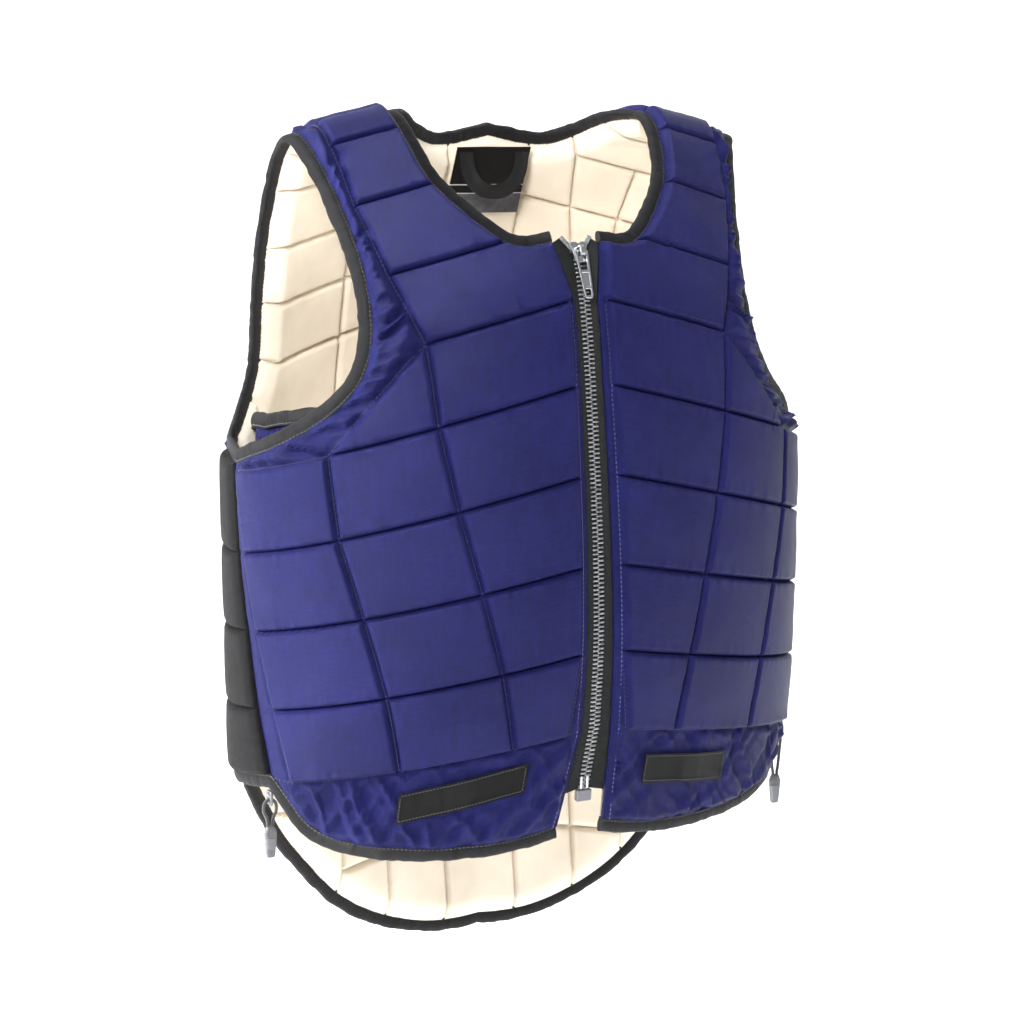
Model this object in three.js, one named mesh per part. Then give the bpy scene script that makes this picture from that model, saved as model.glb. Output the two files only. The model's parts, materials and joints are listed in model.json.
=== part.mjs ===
import * as THREE from "three";

// Padded riding vest. Millimetres, +Z up, the front faces -Y and the wearer's right is -X.
// The origin lies midway between the two shoulder seams, where the vest rests on its wearer.

// Overall sizes.
const BODY_LENGTH = 640; // top of the shoulder ridge, taken to the neck centre, down to the lowest section
const RIDGE_RISE = 36; // height of that ridge above the origin
const CHEST_WIDTH = 412; // widest outer width of the padded body
const CHEST_DEPTH = 214; // outer depth of the body at the waist, front to back
const HEM_SWAY = 9; // sideways swing of the open front hem
const DROOP_SHARE = 0.35; // how much of the depth counts as run when the seams droop to the side

// Wall sizes, measured inward from the outer cloth at a seam.
const SEAM_DEPTH = 6; // outer cloth to the back of the foam at a seam
const EDGE_DEPTH = 2; // the same at a cut edge
const LINING_SEAM = 3; // lining thickness at a seam
const LINING_EDGE = 2; // lining thickness at a cut edge
const BLOCK_RISE = 7; // how far a foam block stands out of its seams, outside
const LINING_RISE = 5; // and inside
const GATHER_RISE = 1.6; // height of the gathers in the unpadded cloth
const CLEARANCE = 0.3; // gap between neighbouring pieces

// Edge trims.
const BINDING_WIDTH = 9;
const BINDING_THICKNESS = 6.4;
const SIDE_BAND_DEPTH = 12;
const SIDE_BAND_RISE = 3;
const WING_INSET = 24; // the underarm wing lies this far inside the outer cloth
const WING_THICKNESS = 3;

// Zip.
const ZIP_END_RISE = 21.5; // lower end of the chain above the hem
const SLIDER_DROP = 11.8; // slider below the neck corner
const CHAIN_WIDTH = 5.6;
const CHAIN_THICKNESS = 3;
const TAPE_THICKNESS = 1.2;
const ZIP_RECESS = 3.4; // tape face below the outer cloth
const SLIDER_LENGTH = 14;
const SLIDER_WIDTH = 13;
const SLIDER_THICKNESS = 5.4;
const PULL_LENGTH = 33;
const PULL_WIDTH = 10;
const PULL_THICKNESS = 1.6;
const PULL_BAR = 1.8;
const STOP_WIDTH = 11;
const STOP_LENGTH = 8;

// Labels and loop.
const LABEL_THICKNESS = 1;
const RIGHT_LABEL_LENGTH = 84;
const LEFT_LABEL_LENGTH = 75;
const HEM_LABEL_HEIGHT = 20;
const NECK_LABEL_WIDTH = 56;
const NECK_LABEL_HEIGHT = 42;
const LOOP_WIDTH = 10;
const LOOP_THICKNESS = 1.4;
const LOOP_SPAN = 42;
const LOOP_DROP = 32;

// Side cords.
const CORD_DIAMETER = 2.2;
const CORD_SIDES = 8;
const RIGHT_CORD_DROP = 15; // bottom of the ring down to the cord end
const LEFT_CORD_DROP = 28;
const CORD_END_LENGTH = 21;
const CORD_END_WIDTH = 8.6;
const CORD_END_THICKNESS = 5;
const EYELET_RADIUS = 5;
const EYELET_BAR = 2.2;

// Angles below are degrees round the body: 0 front centre, 90 side, 180 back centre.
const HALF_TURN = THREE.MathUtils.radToDeg(Math.PI);

// Horizontal sections, one per seam level: down as a share of BODY_LENGTH, front and back as shares of
// CHEST_DEPTH, fullness as the exponent of the oval and droop as the fall of a seam per mm of run.
const SECTIONS = [
  { level: -3, down: 1.0, front: 0.47, back: 0.29, fullness: 1.9, droop: 0.1 },
  { level: -2, down: 0.923, front: 0.477, back: 0.31, fullness: 1.9, droop: 0.12 },
  { level: -1, down: 0.838, front: 0.495, back: 0.346, fullness: 1.9, droop: 0.14 },
  { level: 0, down: 0.752, front: 0.514, back: 0.383, fullness: 1.9, droop: 0.16 },
  { level: 1, down: 0.653, front: 0.542, back: 0.411, fullness: 1.9, droop: 0.15 },
  { level: 2, down: 0.569, front: 0.565, back: 0.43, fullness: 1.95, droop: 0.17 },
  { level: 3, down: 0.481, front: 0.561, back: 0.439, fullness: 2, droop: 0.19 },
  { level: 4, down: 0.39, front: 0.537, back: 0.444, fullness: 2.1, droop: 0.22 },
  { level: 5, down: 0.3, front: 0.505, back: 0.439, fullness: 2.15, droop: 0.24 },
  { level: 6, down: 0.216, front: 0.463, back: 0.421, fullness: 2.1, droop: 0.25 },
  { level: 7, down: 0.144, front: 0.383, back: 0.355, fullness: 2, droop: 0.25 },
  { level: 8, down: 0.073, front: 0.257, back: 0.257, fullness: 2, droop: 0.25 },
  { level: 9, down: 0.016, front: 0.121, back: 0.14, fullness: 2, droop: 0.24 },
  { level: 10, down: 0, front: 0, back: 0, fullness: 2, droop: 0.22 },
];
const RIDGE_LEVEL = SECTIONS.at(-1).level;
const LOWEST_LEVEL = SECTIONS[0].level;
const RIDGE_GAP = 0.03; // levels between the front and the back at the shoulder seam

// Front seams: where the columns of blocks cross each level, in degrees from the zip.
const FRONT_SEAMS = [
  { row: 1, zip: 3.2, start: 5.8, inner: 16.8, outer: 39.5, side: 66 },
  { row: 2, zip: 2.9, start: 4.1, inner: 19.4, outer: 42.3, side: 71 },
  { row: 3, zip: 2.7, start: 3.8, inner: 23.1, outer: 46.6, side: 76 },
  { row: 4, zip: 2.6, start: 3.6, inner: 26.8, outer: 50.8, side: 80 },
  { row: 5, zip: 2.5, start: 3.4, inner: 29.6, outer: 52.2, side: 83 },
];
// Upper front seams, where the panel narrows to the shoulder strap.
const STRAP_SEAMS = [
  { row: 6, neck: 2.6, arm: 31.1 },
  { row: 7, neck: 13.1, arm: 37 },
  { row: 8, neck: 24.1, arm: 41.4 },
  { row: 9, neck: 27.6, arm: 43.9 },
  { row: 10, neck: 28, arm: 45.1 },
];
// Front outline at the hem, the side and the armhole, in walking order.
const FRONT_EDGE = [
  { id: "hem_zip", angle: 4.8, level: 0 },
  { id: "hem_inner", angle: 16.5, level: 0 },
  { id: "hem_outer", angle: 38, level: 0.18 },
  { id: "hem_side", angle: 59, level: 0.5 },
  { id: "side1", angle: 73, level: 1.08 },
  { id: "side2", angle: 77.3, level: 2 },
  { id: "side3", angle: 81, level: 3 },
  { id: "side4", angle: 84.5, level: 4 },
  { id: "side5", angle: 86.5, level: 5.1 },
  { id: "arm_side", angle: 79, level: 5.16 },
  { id: "arm_low", angle: 66, level: 5.26 },
  { id: "arm_turn", angle: 53.5, level: 5.44 },
  { id: "arm_bend", angle: 45.6, level: 5.73 },
  { id: "arm6", angle: 42, level: 6.2 },
  { id: "arm7", angle: 41.9, level: 7.05 },
  { id: "arm8", angle: 44.4, level: 8.02 },
  { id: "arm9", angle: 48.3, level: 9 },
  { id: "arm10", angle: 51.4, level: 10 },
];
const TAPER_TIP = { angle: 33, level: 5.93 }; // where the block under the arm narrows out
const NECK_CORNER = { angle: 4.9, level: 6.84 };

// Back seams: columns of blocks at each level, in degrees, for the wearer's left half.
const BACK_SEAMS = [
  { row: "tail", level: -0.9, centre: 172.2, inner: 158.3, outer: 145.6 },
  { row: 0, level: 0, centre: 172, inner: 157.8, outer: 146.5 },
  { row: 1, level: 1, centre: 171.6, inner: 157.2, outer: 147, arm: 124 },
  { row: 2, level: 2, centre: 171.2, inner: 156.8, outer: 147.4, arm: 124, side: 112 },
  { row: 3, level: 3, centre: 171, inner: 156.4, outer: 148, arm: 124, side: 112 },
  { row: 4, level: 4, centre: 171, inner: 156, outer: 148.5, arm: 124, side: 112 },
  { row: 5, level: 5, centre: 171, inner: 156, outer: 149, arm: 124, side: 112.5 },
  { row: 6, level: 5.9, centre: 171, inner: 156.4, outer: 150, arm: 130 },
  { row: 7, level: 6.8, centre: 171, inner: 157.5, outer: 149.4, arm: 128.4 },
  { row: 8, level: 7.6, centre: 171, inner: 160, outer: 149, arm: 128.8 },
];
const BACK_EDGE = [
  { id: "tail_centre", angle: 172.2, level: -2.08 },
  { id: "tail_inner", angle: 158.3, level: -1.75 },
  { id: "tail_outer", angle: 145.4, level: -1.2 },
  { id: "tail_side", angle: 133, level: -0.38 },
  { id: "tail_arm", angle: 123, level: 0.25 },
  { id: "tail_end", angle: 114.5, level: 0.68 },
  { id: "side1", angle: 107, level: 1.05 },
  { id: "side2", angle: 108, level: 2 },
  { id: "side3", angle: 108, level: 3 },
  { id: "side4", angle: 108, level: 4 },
  { id: "side5", angle: 108, level: 5.12 },
  { id: "arm_side", angle: 111.5, level: 5.2 },
  { id: "arm_low", angle: 117, level: 5.32 },
  { id: "arm_turn", angle: 122.5, level: 5.58 },
  { id: "arm6", angle: 125.6, level: 6.02 },
  { id: "arm7", angle: 124.2, level: 6.85 },
  { id: "arm8", angle: 124.4, level: 7.6 },
  { id: "arm_strap", angle: 126.4, level: 8.45 },
  { id: "arm9", angle: 128, level: 9.25 },
  { id: "arm10", angle: 128.6, level: 10 },
];
const BACK_NECK = [
  { id: "neck_centre", angle: 171, level: 8.36 },
  { id: "neck_inner", angle: 162.6, level: 8.7 },
  { id: "neck9", angle: 157.4, level: 9.25 },
  { id: "neck10", angle: 152, level: 10 },
];
const BACK_STRAP = [
  { id: "strap_inner", angle: 161.6, level: 8.45 },
  { id: "strap_outer", angle: 147.5, level: 8.45 },
  { id: "strap_arm", angle: 130.4, level: 8.45 },
  { id: "strap9", angle: 132.6, level: 9.25 },
  { id: "strap10", angle: 134.9, level: 10 },
];

const material = (color, roughness, metalness = 0) =>
  new THREE.MeshStandardMaterial({ color, roughness, metalness });
const NAVY = material(0x2c2a66, 0.45);
const CREAM = material(0xf0e6d2, 0.75);
const BLACK = material(0x2c2c2e, 0.7);
const TAPE = material(0x262a29, 0.8);
const TEETH = material(0x3a3c3e, 0.4, 0.6);
const METAL = material(0xa8aaae, 0.3, 0.9);
const LABEL = material(0x17171a, 0.4);
const GREY = material(0x77787c, 0.5);

const rad = THREE.MathUtils.degToRad;
const clamp = THREE.MathUtils.clamp;
const signedPower = (value, power) => Math.sign(value) * Math.abs(value) ** power;

function spline(p0, p1, p2, p3, t) {
  const a = 2 * p1;
  const b = p2 - p0;
  const c = 2 * p0 - 5 * p1 + 4 * p2 - p3;
  const d = p3 - p0 - 3 * p2 + 3 * p1;
  return (a + b * t + c * t * t + d * t ** 3) / 2;
}

// Section values at any level. Past the ridge the depths carry on with their sign turned.
function sectionAt(level) {
  if (level > RIDGE_LEVEL) {
    const mirrored = sectionAt(2 * RIDGE_LEVEL - level);
    return { ...mirrored, front: -mirrored.front, back: -mirrored.back };
  }
  const place = clamp(level, LOWEST_LEVEL, RIDGE_LEVEL) - LOWEST_LEVEL;
  const index = Math.min(Math.floor(place), SECTIONS.length - 2);
  const value = (offset, key) => {
    const wanted = index + offset;
    if (wanted < 0) return 2 * SECTIONS[0][key] - SECTIONS[1][key];
    if (wanted < SECTIONS.length) return SECTIONS[wanted][key];
    const mirrored = SECTIONS[2 * (SECTIONS.length - 1) - wanted][key];
    return key === "front" || key === "back" ? -mirrored : mirrored;
  };
  const at = (key) => spline(value(-1, key), value(0, key), value(1, key), value(2, key), place - index);
  return {
    z: RIDGE_RISE - BODY_LENGTH * at("down"),
    front: CHEST_DEPTH * at("front"),
    back: CHEST_DEPTH * at("back"),
    fullness: at("fullness"),
    droop: at("droop"),
  };
}

// Outer cloth of the body at a seam.
function bodyPoint(angle, level) {
  const { z, front, back, fullness, droop } = sectionAt(level);
  const sine = Math.sin(rad(angle));
  const cosine = Math.cos(rad(angle));
  const norm = (Math.abs(sine) ** fullness + Math.abs(cosine) ** fullness) ** (1 / fullness);
  const across = (CHEST_WIDTH / 2) * (sine / norm);
  const forward = cosine / norm;
  const depth = forward > 0 ? front : back;
  const run = Math.abs(across) + DROOP_SHARE * (1 - Math.abs(forward)) * Math.abs(front + back) / 2;
  const sway = HEM_SWAY * clamp(1 - level, 0, 1) * clamp(forward, 0, 1);
  return new THREE.Vector3(across - sway, -depth * forward, z - droop * run);
}

const ANGLE_STEP = 0.5;
const LEVEL_STEP = 0.05;
function bodyNormal(angle, anyLevel) {
  const level = anyLevel > RIDGE_LEVEL - 2 * RIDGE_GAP ? RIDGE_LEVEL : anyLevel;
  const along = bodyPoint(angle + ANGLE_STEP, level).sub(bodyPoint(angle - ANGLE_STEP, level));
  const up = bodyPoint(angle, level + LEVEL_STEP).sub(bodyPoint(angle, level - LEVEL_STEP));
  return along.cross(up).normalize();
}

function bodyOffset(angle, level, lift) {
  return bodyPoint(angle, level).addScaledVector(bodyNormal(angle, level), lift);
}

// A closed solid from a list of triangles between shared points.
function solid(name, points, triangles, surface) {
  const geometry = new THREE.BufferGeometry();
  geometry.setAttribute("position", new THREE.Float32BufferAttribute(points.flatMap((p) => p.toArray()), 3));
  geometry.setIndex(triangles.flat());
  const plain = geometry.toNonIndexed();
  plain.computeVertexNormals();
  const mesh = new THREE.Mesh(plain, surface);
  mesh.name = name;
  return mesh;
}

// A net of cells over the body. Corners are kept by name; long edges get extra points, and edges that
// lie on a chain of outline corners follow a smooth curve through that chain.
const LONG_ANGLE = 16;
const LONG_LEVEL = 0.62;
const CURVED_LEVEL = 6.9;
class Net {
  constructor(turn) {
    this.turn = turn;
    this.corners = new Map();
    this.chains = [];
    this.edges = new Map();
    this.cells = [];
  }
  corner(id, angle, level, edge = false) {
    this.corners.set(id, { angle: this.turn(angle), level, edge });
    return id;
  }
  chain(ids) {
    this.chains.push(ids);
  }
  between(from, to) {
    const key = [from, to].sort().join("|");
    if (!this.edges.has(key)) {
      const [low, high] = key.split("|");
      const a = this.corners.get(low);
      const b = this.corners.get(high);
      const chain = this.chains.find((ids) => {
        const at = ids.indexOf(low);
        return at >= 0 && (ids[at + 1] === high || ids[at - 1] === high);
      });
      const long = Math.abs(a.angle - b.angle) > LONG_ANGLE;
      const curved = chain || Math.max(a.level, b.level) > CURVED_LEVEL;
      const tall = Math.abs(a.level - b.level) > LONG_LEVEL && curved;
      const names = [];
      if (long || tall || chain) {
        const name = `${key}|mid`;
        this.corners.set(name, chain ? this.onChain(chain, low, high) : {
          angle: (a.angle + b.angle) / 2, level: (a.level + b.level) / 2, edge: false,
        });
        names.push(name);
      }
      this.edges.set(key, names);
    }
    return this.edges.get(key);
  }
  onChain(ids, low, high) {
    const first = Math.min(ids.indexOf(low), ids.indexOf(high));
    const at = (offset) => this.corners.get(ids[clamp(first + offset, 0, ids.length - 1)]);
    const mix = (key) => spline(at(-1)[key], at(0)[key], at(1)[key], at(2)[key], 1 / 2);
    return { angle: mix("angle"), level: mix("level"), edge: true };
  }
  // Adds a cell; its loop of names is turned so that it runs the same way in every half.
  cell(ids, padded, lift = 0) {
    const loop = ids.flatMap((id, i) => [id, ...this.between(id, ids[(i + 1) % ids.length])]);
    const area = loop.reduce((sum, id, i) => {
      const a = this.corners.get(id);
      const b = this.corners.get(loop[(i + 1) % loop.length]);
      return sum + a.angle * b.level - b.angle * a.level;
    }, 0);
    this.cells.push({ loop: area < 0 ? loop.reverse() : loop, sharp: new Set(ids), padded, lift });
  }
}

const FIRST_INSET = 3.5; // width of the steep rim of a block
const SECOND_INSET = 11; // where its flat top begins
const FIRST_SHARE = 0.55;
const MOST_INSET = 0.62;
const CORNER_INSET = 1.35;

// One face of a padded panel. Offsets are measured along the outward normal.
function addFace(net, points, triangles, { seam, edge, rise, rings, outward }) {
  const index = new Map();
  const place = (id) => {
    if (!index.has(id)) {
      const { angle, level, edge: onEdge } = net.corners.get(id);
      index.set(id, points.push(bodyOffset(angle, level, onEdge ? edge : seam)) - 1);
    }
    return index.get(id);
  };
  const add = (a, b, c) => triangles.push(outward ? [a, b, c] : [a, c, b]);
  for (const { loop, sharp, padded, lift } of net.cells) {
    const names = loop.map((id) => net.corners.get(id));
    const middle = {
      angle: names.reduce((sum, c) => sum + c.angle, 0) / names.length,
      level: names.reduce((sum, c) => sum + c.level, 0) / names.length,
    };
    const centre = bodyPoint(middle.angle, middle.level);
    let ring = loop.map(place);
    for (const { inset, share } of padded ? rings : []) {
      const next = names.map((corner, i) => {
        const reach = bodyPoint(corner.angle, corner.level).distanceTo(centre);
        const scale = sharp.has(loop[i]) ? CORNER_INSET : 1;
        const part = Math.min(MOST_INSET * share, inset * scale / reach);
        const angle = THREE.MathUtils.lerp(corner.angle, middle.angle, part);
        const level = THREE.MathUtils.lerp(corner.level, middle.level, part);
        return points.push(bodyOffset(angle, level, seam + rise * share)) - 1;
      });
      next.forEach((_, i) => {
        const j = (i + 1) % next.length;
        add(ring[i], ring[j], next[j]);
        add(ring[i], next[j], next[i]);
      });
      ring = next;
    }
    const lifted = padded ? seam + rise : seam + lift * Math.sign(rise);
    const top = points.push(bodyOffset(middle.angle, middle.level, lifted)) - 1;
    ring.forEach((at, i) => add(at, ring[(i + 1) % ring.length], top));
  }
  return index;
}

// A closed padded panel between two faces, with a rim round its outline.
function panel(name, net, top, bottom, surface) {
  const points = [];
  const triangles = [];
  const upper = addFace(net, points, triangles, { ...top, outward: true });
  const lower = addFace(net, points, triangles, { ...bottom, outward: false });
  const used = new Set();
  for (const { loop } of net.cells) {
    loop.forEach((id, i) => used.add(`${id}>${loop[(i + 1) % loop.length]}`));
  }
  for (const key of used) {
    const [from, to] = key.split(">");
    if (used.has(`${to}>${from}`)) continue;
    triangles.push([upper.get(to), upper.get(from), lower.get(from)]);
    triangles.push([upper.get(to), lower.get(from), lower.get(to)]);
  }
  return solid(name, points, triangles, surface);
}

const TWO_RINGS = [{ inset: FIRST_INSET, share: FIRST_SHARE }, { inset: SECOND_INSET, share: 1 }];
const ONE_RING = [{ inset: SECOND_INSET, share: 1 }];
const SHELL_TOP = { seam: 0, edge: 0, rise: BLOCK_RISE, rings: TWO_RINGS };
const SHELL_BOTTOM = { seam: -SEAM_DEPTH, edge: -EDGE_DEPTH, rise: 0, rings: [] };
const LINING_TOP = { seam: -SEAM_DEPTH - CLEARANCE, edge: -EDGE_DEPTH - CLEARANCE, rise: 0, rings: [] };
const LINING_BOTTOM = {
  seam: -SEAM_DEPTH - CLEARANCE - LINING_SEAM,
  edge: -EDGE_DEPTH - CLEARANCE - LINING_EDGE,
  rise: -LINING_RISE,
  rings: ONE_RING,
};

// The ridge is shared with the back, so the front stops a hair before it.
const nearRidge = (level) => Math.min(level, RIDGE_LEVEL - RIDGE_GAP);

function frontNet(side) {
  const net = new Net((angle) => side * angle);
  for (const { id, angle, level } of FRONT_EDGE) net.corner(id, angle, nearRidge(level), true);
  for (const { row, zip, start, inner, outer, side: end } of FRONT_SEAMS) {
    net.corner(`zip${row}`, zip, row, true);
    net.corner(`start${row}`, start, row);
    net.corner(`inner${row}`, inner, row);
    net.corner(`outer${row}`, outer, row);
    net.corner(`end${row}`, end, row);
  }
  for (const { row, neck, arm } of STRAP_SEAMS) {
    net.corner(`neck${row}`, neck, nearRidge(row), true);
    net.corner(`inner${row}`, arm, nearRidge(row));
  }
  net.corner("start6", FRONT_SEAMS.at(-1).start, 6);
  net.corner("tip", TAPER_TIP.angle, TAPER_TIP.level);
  net.corner("neck_corner", NECK_CORNER.angle, NECK_CORNER.level, true);
  net.chain(["hem_zip", "hem_inner", "hem_outer", "hem_side", "side1"]);
  net.chain(FRONT_EDGE.map(({ id }) => id).filter((id) => id.startsWith("arm")));
  net.chain(["neck_corner", "neck7", "neck8", "neck9", "neck10"]);

  const low = (a, b, c, d) => net.cell([a, b, c, d], false, GATHER_RISE);
  low("hem_zip", "hem_inner", "inner1", "start1");
  net.cell(["hem_zip", "start1", "zip1"], false, 0);
  low("hem_inner", "hem_outer", "outer1", "inner1");
  low("hem_outer", "hem_side", "end1", "outer1");
  net.cell(["hem_side", "side1", "end1"], false, GATHER_RISE);
  for (let row = 1; row < 5; row += 1) {
    const next = row + 1;
    net.cell([`zip${row}`, `start${row}`, `start${next}`, `zip${next}`], false);
    net.cell([`start${row}`, `inner${row}`, `inner${next}`, `start${next}`], true);
    net.cell([`inner${row}`, `outer${row}`, `outer${next}`, `inner${next}`], true);
    net.cell([`outer${row}`, `end${row}`, `end${next}`, `outer${next}`], true);
    net.cell([`end${row}`, `side${row}`, `side${next}`, `end${next}`], false);
  }
  net.cell(["zip5", "start5", "start6", "neck6"], false);
  net.cell(["start5", "inner5", "inner6", "start6"], true);
  net.cell(["inner5", "outer5", "tip", "inner6"], true);
  net.cell(["neck6", "start6", "inner6", "inner7", "neck7", "neck_corner"], true);
  for (let row = 7; row < RIDGE_LEVEL; row += 1) {
    net.cell([`neck${row}`, `inner${row}`, `inner${row + 1}`, `neck${row + 1}`], true);
    net.cell([`inner${row}`, `arm${row}`, `arm${row + 1}`, `inner${row + 1}`], false, GATHER_RISE);
  }
  net.cell(["inner6", "tip", "arm6", "arm7", "inner7"], false, GATHER_RISE);
  net.cell(["tip", "outer5", "arm_turn", "arm_bend", "arm6"], false, GATHER_RISE);
  net.cell(["outer5", "end5", "arm_side", "arm_low", "arm_turn"], false, GATHER_RISE);
  net.cell(["end5", "side5", "arm_side"], false);
  return net;
}

// The back runs right round from one side edge to the other, so its net holds both halves.
function backNet() {
  const net = new Net((angle) => angle);
  const both = (id, angle, level, edge) => {
    net.corner(`l_${id}`, angle, level, edge);
    net.corner(`r_${id}`, 2 * HALF_TURN - angle, level, edge);
  };
  for (const { id, angle, level } of [...BACK_EDGE, ...BACK_NECK]) both(id, angle, level, true);
  for (const { id, angle, level } of BACK_STRAP) both(id, angle, level, false);
  for (const { row, level, centre, inner, outer, arm, side } of BACK_SEAMS) {
    both(`centre_${row}`, centre, level);
    both(`inner_${row}`, inner, level);
    both(`outer_${row}`, outer, level);
    if (arm) both(`block_${row}`, arm, level);
    if (side) both(`end_${row}`, side, level);
  }
  const tail = ["tail_centre", "tail_inner", "tail_outer", "tail_side", "tail_arm", "tail_end", "side1"];
  const arm = BACK_EDGE.map(({ id }) => id).filter((id) => id.startsWith("arm"));
  const neck = BACK_NECK.map(({ id }) => id);
  net.chain([...tail.toReversed().map((id) => `r_${id}`), ...tail.map((id) => `l_${id}`)]);
  net.chain([...neck.toReversed().map((id) => `r_${id}`), ...neck.map((id) => `l_${id}`)]);
  for (const half of ["l_", "r_"]) net.chain(arm.map((id) => half + id));

  const rows = BACK_SEAMS.map(({ row }) => row);
  const across = (row) => [`r_centre_${row}`, `l_centre_${row}`];
  for (let i = 0; i < rows.length - 1; i += 1) {
    net.cell([...across(rows[i]), ...across(rows[i + 1]).reverse()], true);
  }
  net.cell([...across(8), "l_neck_centre", "r_neck_centre"], true);
  net.cell([...across("tail"), "l_tail_centre", "r_tail_centre"], true);
  for (const half of ["l_", "r_"]) {
    const cell = (ids, padded, lift) => net.cell(ids.map((id) => half + id), padded, lift);
    for (let i = 0; i < rows.length - 1; i += 1) {
      const [a, b] = [rows[i], rows[i + 1]];
      cell([`centre_${a}`, `inner_${a}`, `inner_${b}`, `centre_${b}`], true);
      cell([`inner_${a}`, `outer_${a}`, `outer_${b}`, `inner_${b}`], true);
      if (a >= 1) cell([`outer_${a}`, `block_${a}`, `block_${b}`, `outer_${b}`], true);
      if (a >= 2 && b <= 5) {
        cell([`block_${a}`, `end_${a}`, `end_${b}`, `block_${b}`], true);
        cell([`end_${a}`, `side${a}`, `side${b}`, `end_${b}`], false);
      }
    }
    cell(["centre_tail", "inner_tail", "tail_inner", "tail_centre"], true);
    cell(["inner_tail", "outer_tail", "tail_outer", "tail_inner"], true);
    cell(["outer_tail", "outer_0", "tail_arm", "tail_side", "tail_outer"], true);
    cell(["outer_0", "outer_1", "block_1", "tail_arm"], true);
    cell(["block_1", "block_2", "end_2", "side2", "side1", "tail_end", "tail_arm"], false, GATHER_RISE);
    cell(["block_5", "end_5", "arm_side", "arm_low", "arm_turn"], false, GATHER_RISE);
    cell(["end_5", "side5", "arm_side"], false);
    cell(["block_5", "arm_turn", "arm6", "block_6"], false, GATHER_RISE);
    cell(["block_6", "arm6", "arm7", "block_7"], false, GATHER_RISE);
    cell(["block_7", "arm7", "arm8", "block_8"], false, GATHER_RISE);
    cell(["centre_8", "inner_8", "strap_inner", "neck_inner", "neck_centre"], true);
    cell(["inner_8", "outer_8", "strap_outer", "strap_inner"], true);
    cell(["outer_8", "block_8", "strap_arm", "strap_outer"], true);
    cell(["block_8", "arm8", "arm_strap", "strap_arm"], false, GATHER_RISE);
    cell(["strap_inner", "strap_outer", "strap_arm", "strap9", "neck9", "neck_inner"], true);
    cell(["strap_arm", "arm_strap", "arm9", "strap9"], false, GATHER_RISE);
    cell(["neck9", "strap9", "strap10", "neck10"], true);
    cell(["strap9", "arm9", "arm10", "strap10"], false, GATHER_RISE);
  }
  return net;
}

// The black padded band down each side, between the front and the back.
const BAND_GAP = 0.35; // degrees left clear at each edge
function sideNet(side) {
  const net = new Net((angle) => side * angle);
  for (let row = 1; row <= 5; row += 1) {
    const front = FRONT_EDGE.find(({ id }) => id === `side${row}`);
    const back = BACK_EDGE.find(({ id }) => id === `side${row}`);
    net.corner(`f${row}`, front.angle + BAND_GAP, front.level, true);
    net.corner(`b${row}`, back.angle - BAND_GAP, back.level, true);
  }
  for (let row = 1; row < 5; row += 1) net.cell([`f${row}`, `b${row}`, `b${row + 1}`, `f${row + 1}`], true);
  return net;
}

// Frames along an edge: a point in the middle of the cut edge, the direction away from the panel and the
// outward normal. The edge is walked with the panel on its left when seen from outside.
function edgeFrames(places, depth, closed = false) {
  const count = places.length;
  const neighbour = (i) => places[closed ? (i + count) % count : clamp(i, 0, count - 1)];
  return places.map(({ angle, level }, i) => {
    const before = neighbour(i - 1);
    const after = neighbour(i + 1);
    const normal = bodyNormal(angle, level);
    const along = bodyPoint(after.angle, after.level).sub(bodyPoint(before.angle, before.level));
    const away = along.cross(normal).normalize();
    return { at: bodyOffset(angle, level, -depth), away, normal };
  });
}

// Sweeps a closed section, given as [away, out] pairs, along frames.
function sweep(name, frames, section, surface, closed = false) {
  const points = frames.flatMap(({ at, away, normal }) => section.map(([out, up]) =>
    at.clone().addScaledVector(away, out).addScaledVector(normal, up)));
  const count = section.length;
  const triangles = [];
  const steps = closed ? frames.length : frames.length - 1;
  for (let i = 0; i < steps; i += 1) {
    const next = (i + 1) % frames.length;
    for (let k = 0; k < count; k += 1) {
      const j = (k + 1) % count;
      const [a, b, c, d] = [i * count + k, i * count + j, next * count + j, next * count + k];
      triangles.push([a, b, c], [a, c, d]);
    }
  }
  const last = (frames.length - 1) * count;
  for (let k = 1; k < count - 1 && !closed; k += 1) {
    triangles.push([0, k + 1, k], [last, last + k, last + k + 1]);
  }
  const mesh = solid(name, points, triangles, surface);
  if (signedVolume(mesh.geometry) > 0) return mesh;
  return solid(name, points, triangles.map(([a, b, c]) => [a, c, b]), surface);
}

function signedVolume(geometry) {
  const at = geometry.getAttribute("position");
  const [a, b, c] = [new THREE.Vector3(), new THREE.Vector3(), new THREE.Vector3()];
  let sum = 0;
  for (let i = 0; i < at.count; i += 3) {
    b.fromBufferAttribute(at, i + 1).cross(c.fromBufferAttribute(at, i + 2));
    sum += a.fromBufferAttribute(at, i).dot(b);
  }
  return sum;
}

// A flat strip between two lines of points, with its thickness laid along the outward normal.
function strip(name, rows, thickness, surface) {
  const frames = rows.map(({ from, to, normal }) => ({ at: from, away: to.clone().sub(from), normal }));
  return sweep(name, frames, [[0, 0], [1, 0], [1, thickness], [0, thickness]], surface);
}

const BINDING_GAP = 1.6 * CLEARANCE; // the cut edges twist a little between their corners
const BINDING_SECTION = [[BINDING_GAP, -0.22], [BINDING_WIDTH * 0.4, -0.5], [BINDING_WIDTH, -0.25],
  [BINDING_WIDTH, 0.25], [BINDING_WIDTH * 0.4, 0.5], [BINDING_GAP, 0.22],
].map(([away, share]) => [away, share * BINDING_THICKNESS]);
const EDGE_MIDDLE = (EDGE_DEPTH + CLEARANCE + LINING_EDGE) / 2;

const group = new THREE.Group();
group.name = "padded_riding_vest";
const SIDES = [["right", -1], ["left", 1]];
const fronts = SIDES.map(([, side]) => frontNet(side));
const back = backNet();

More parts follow.
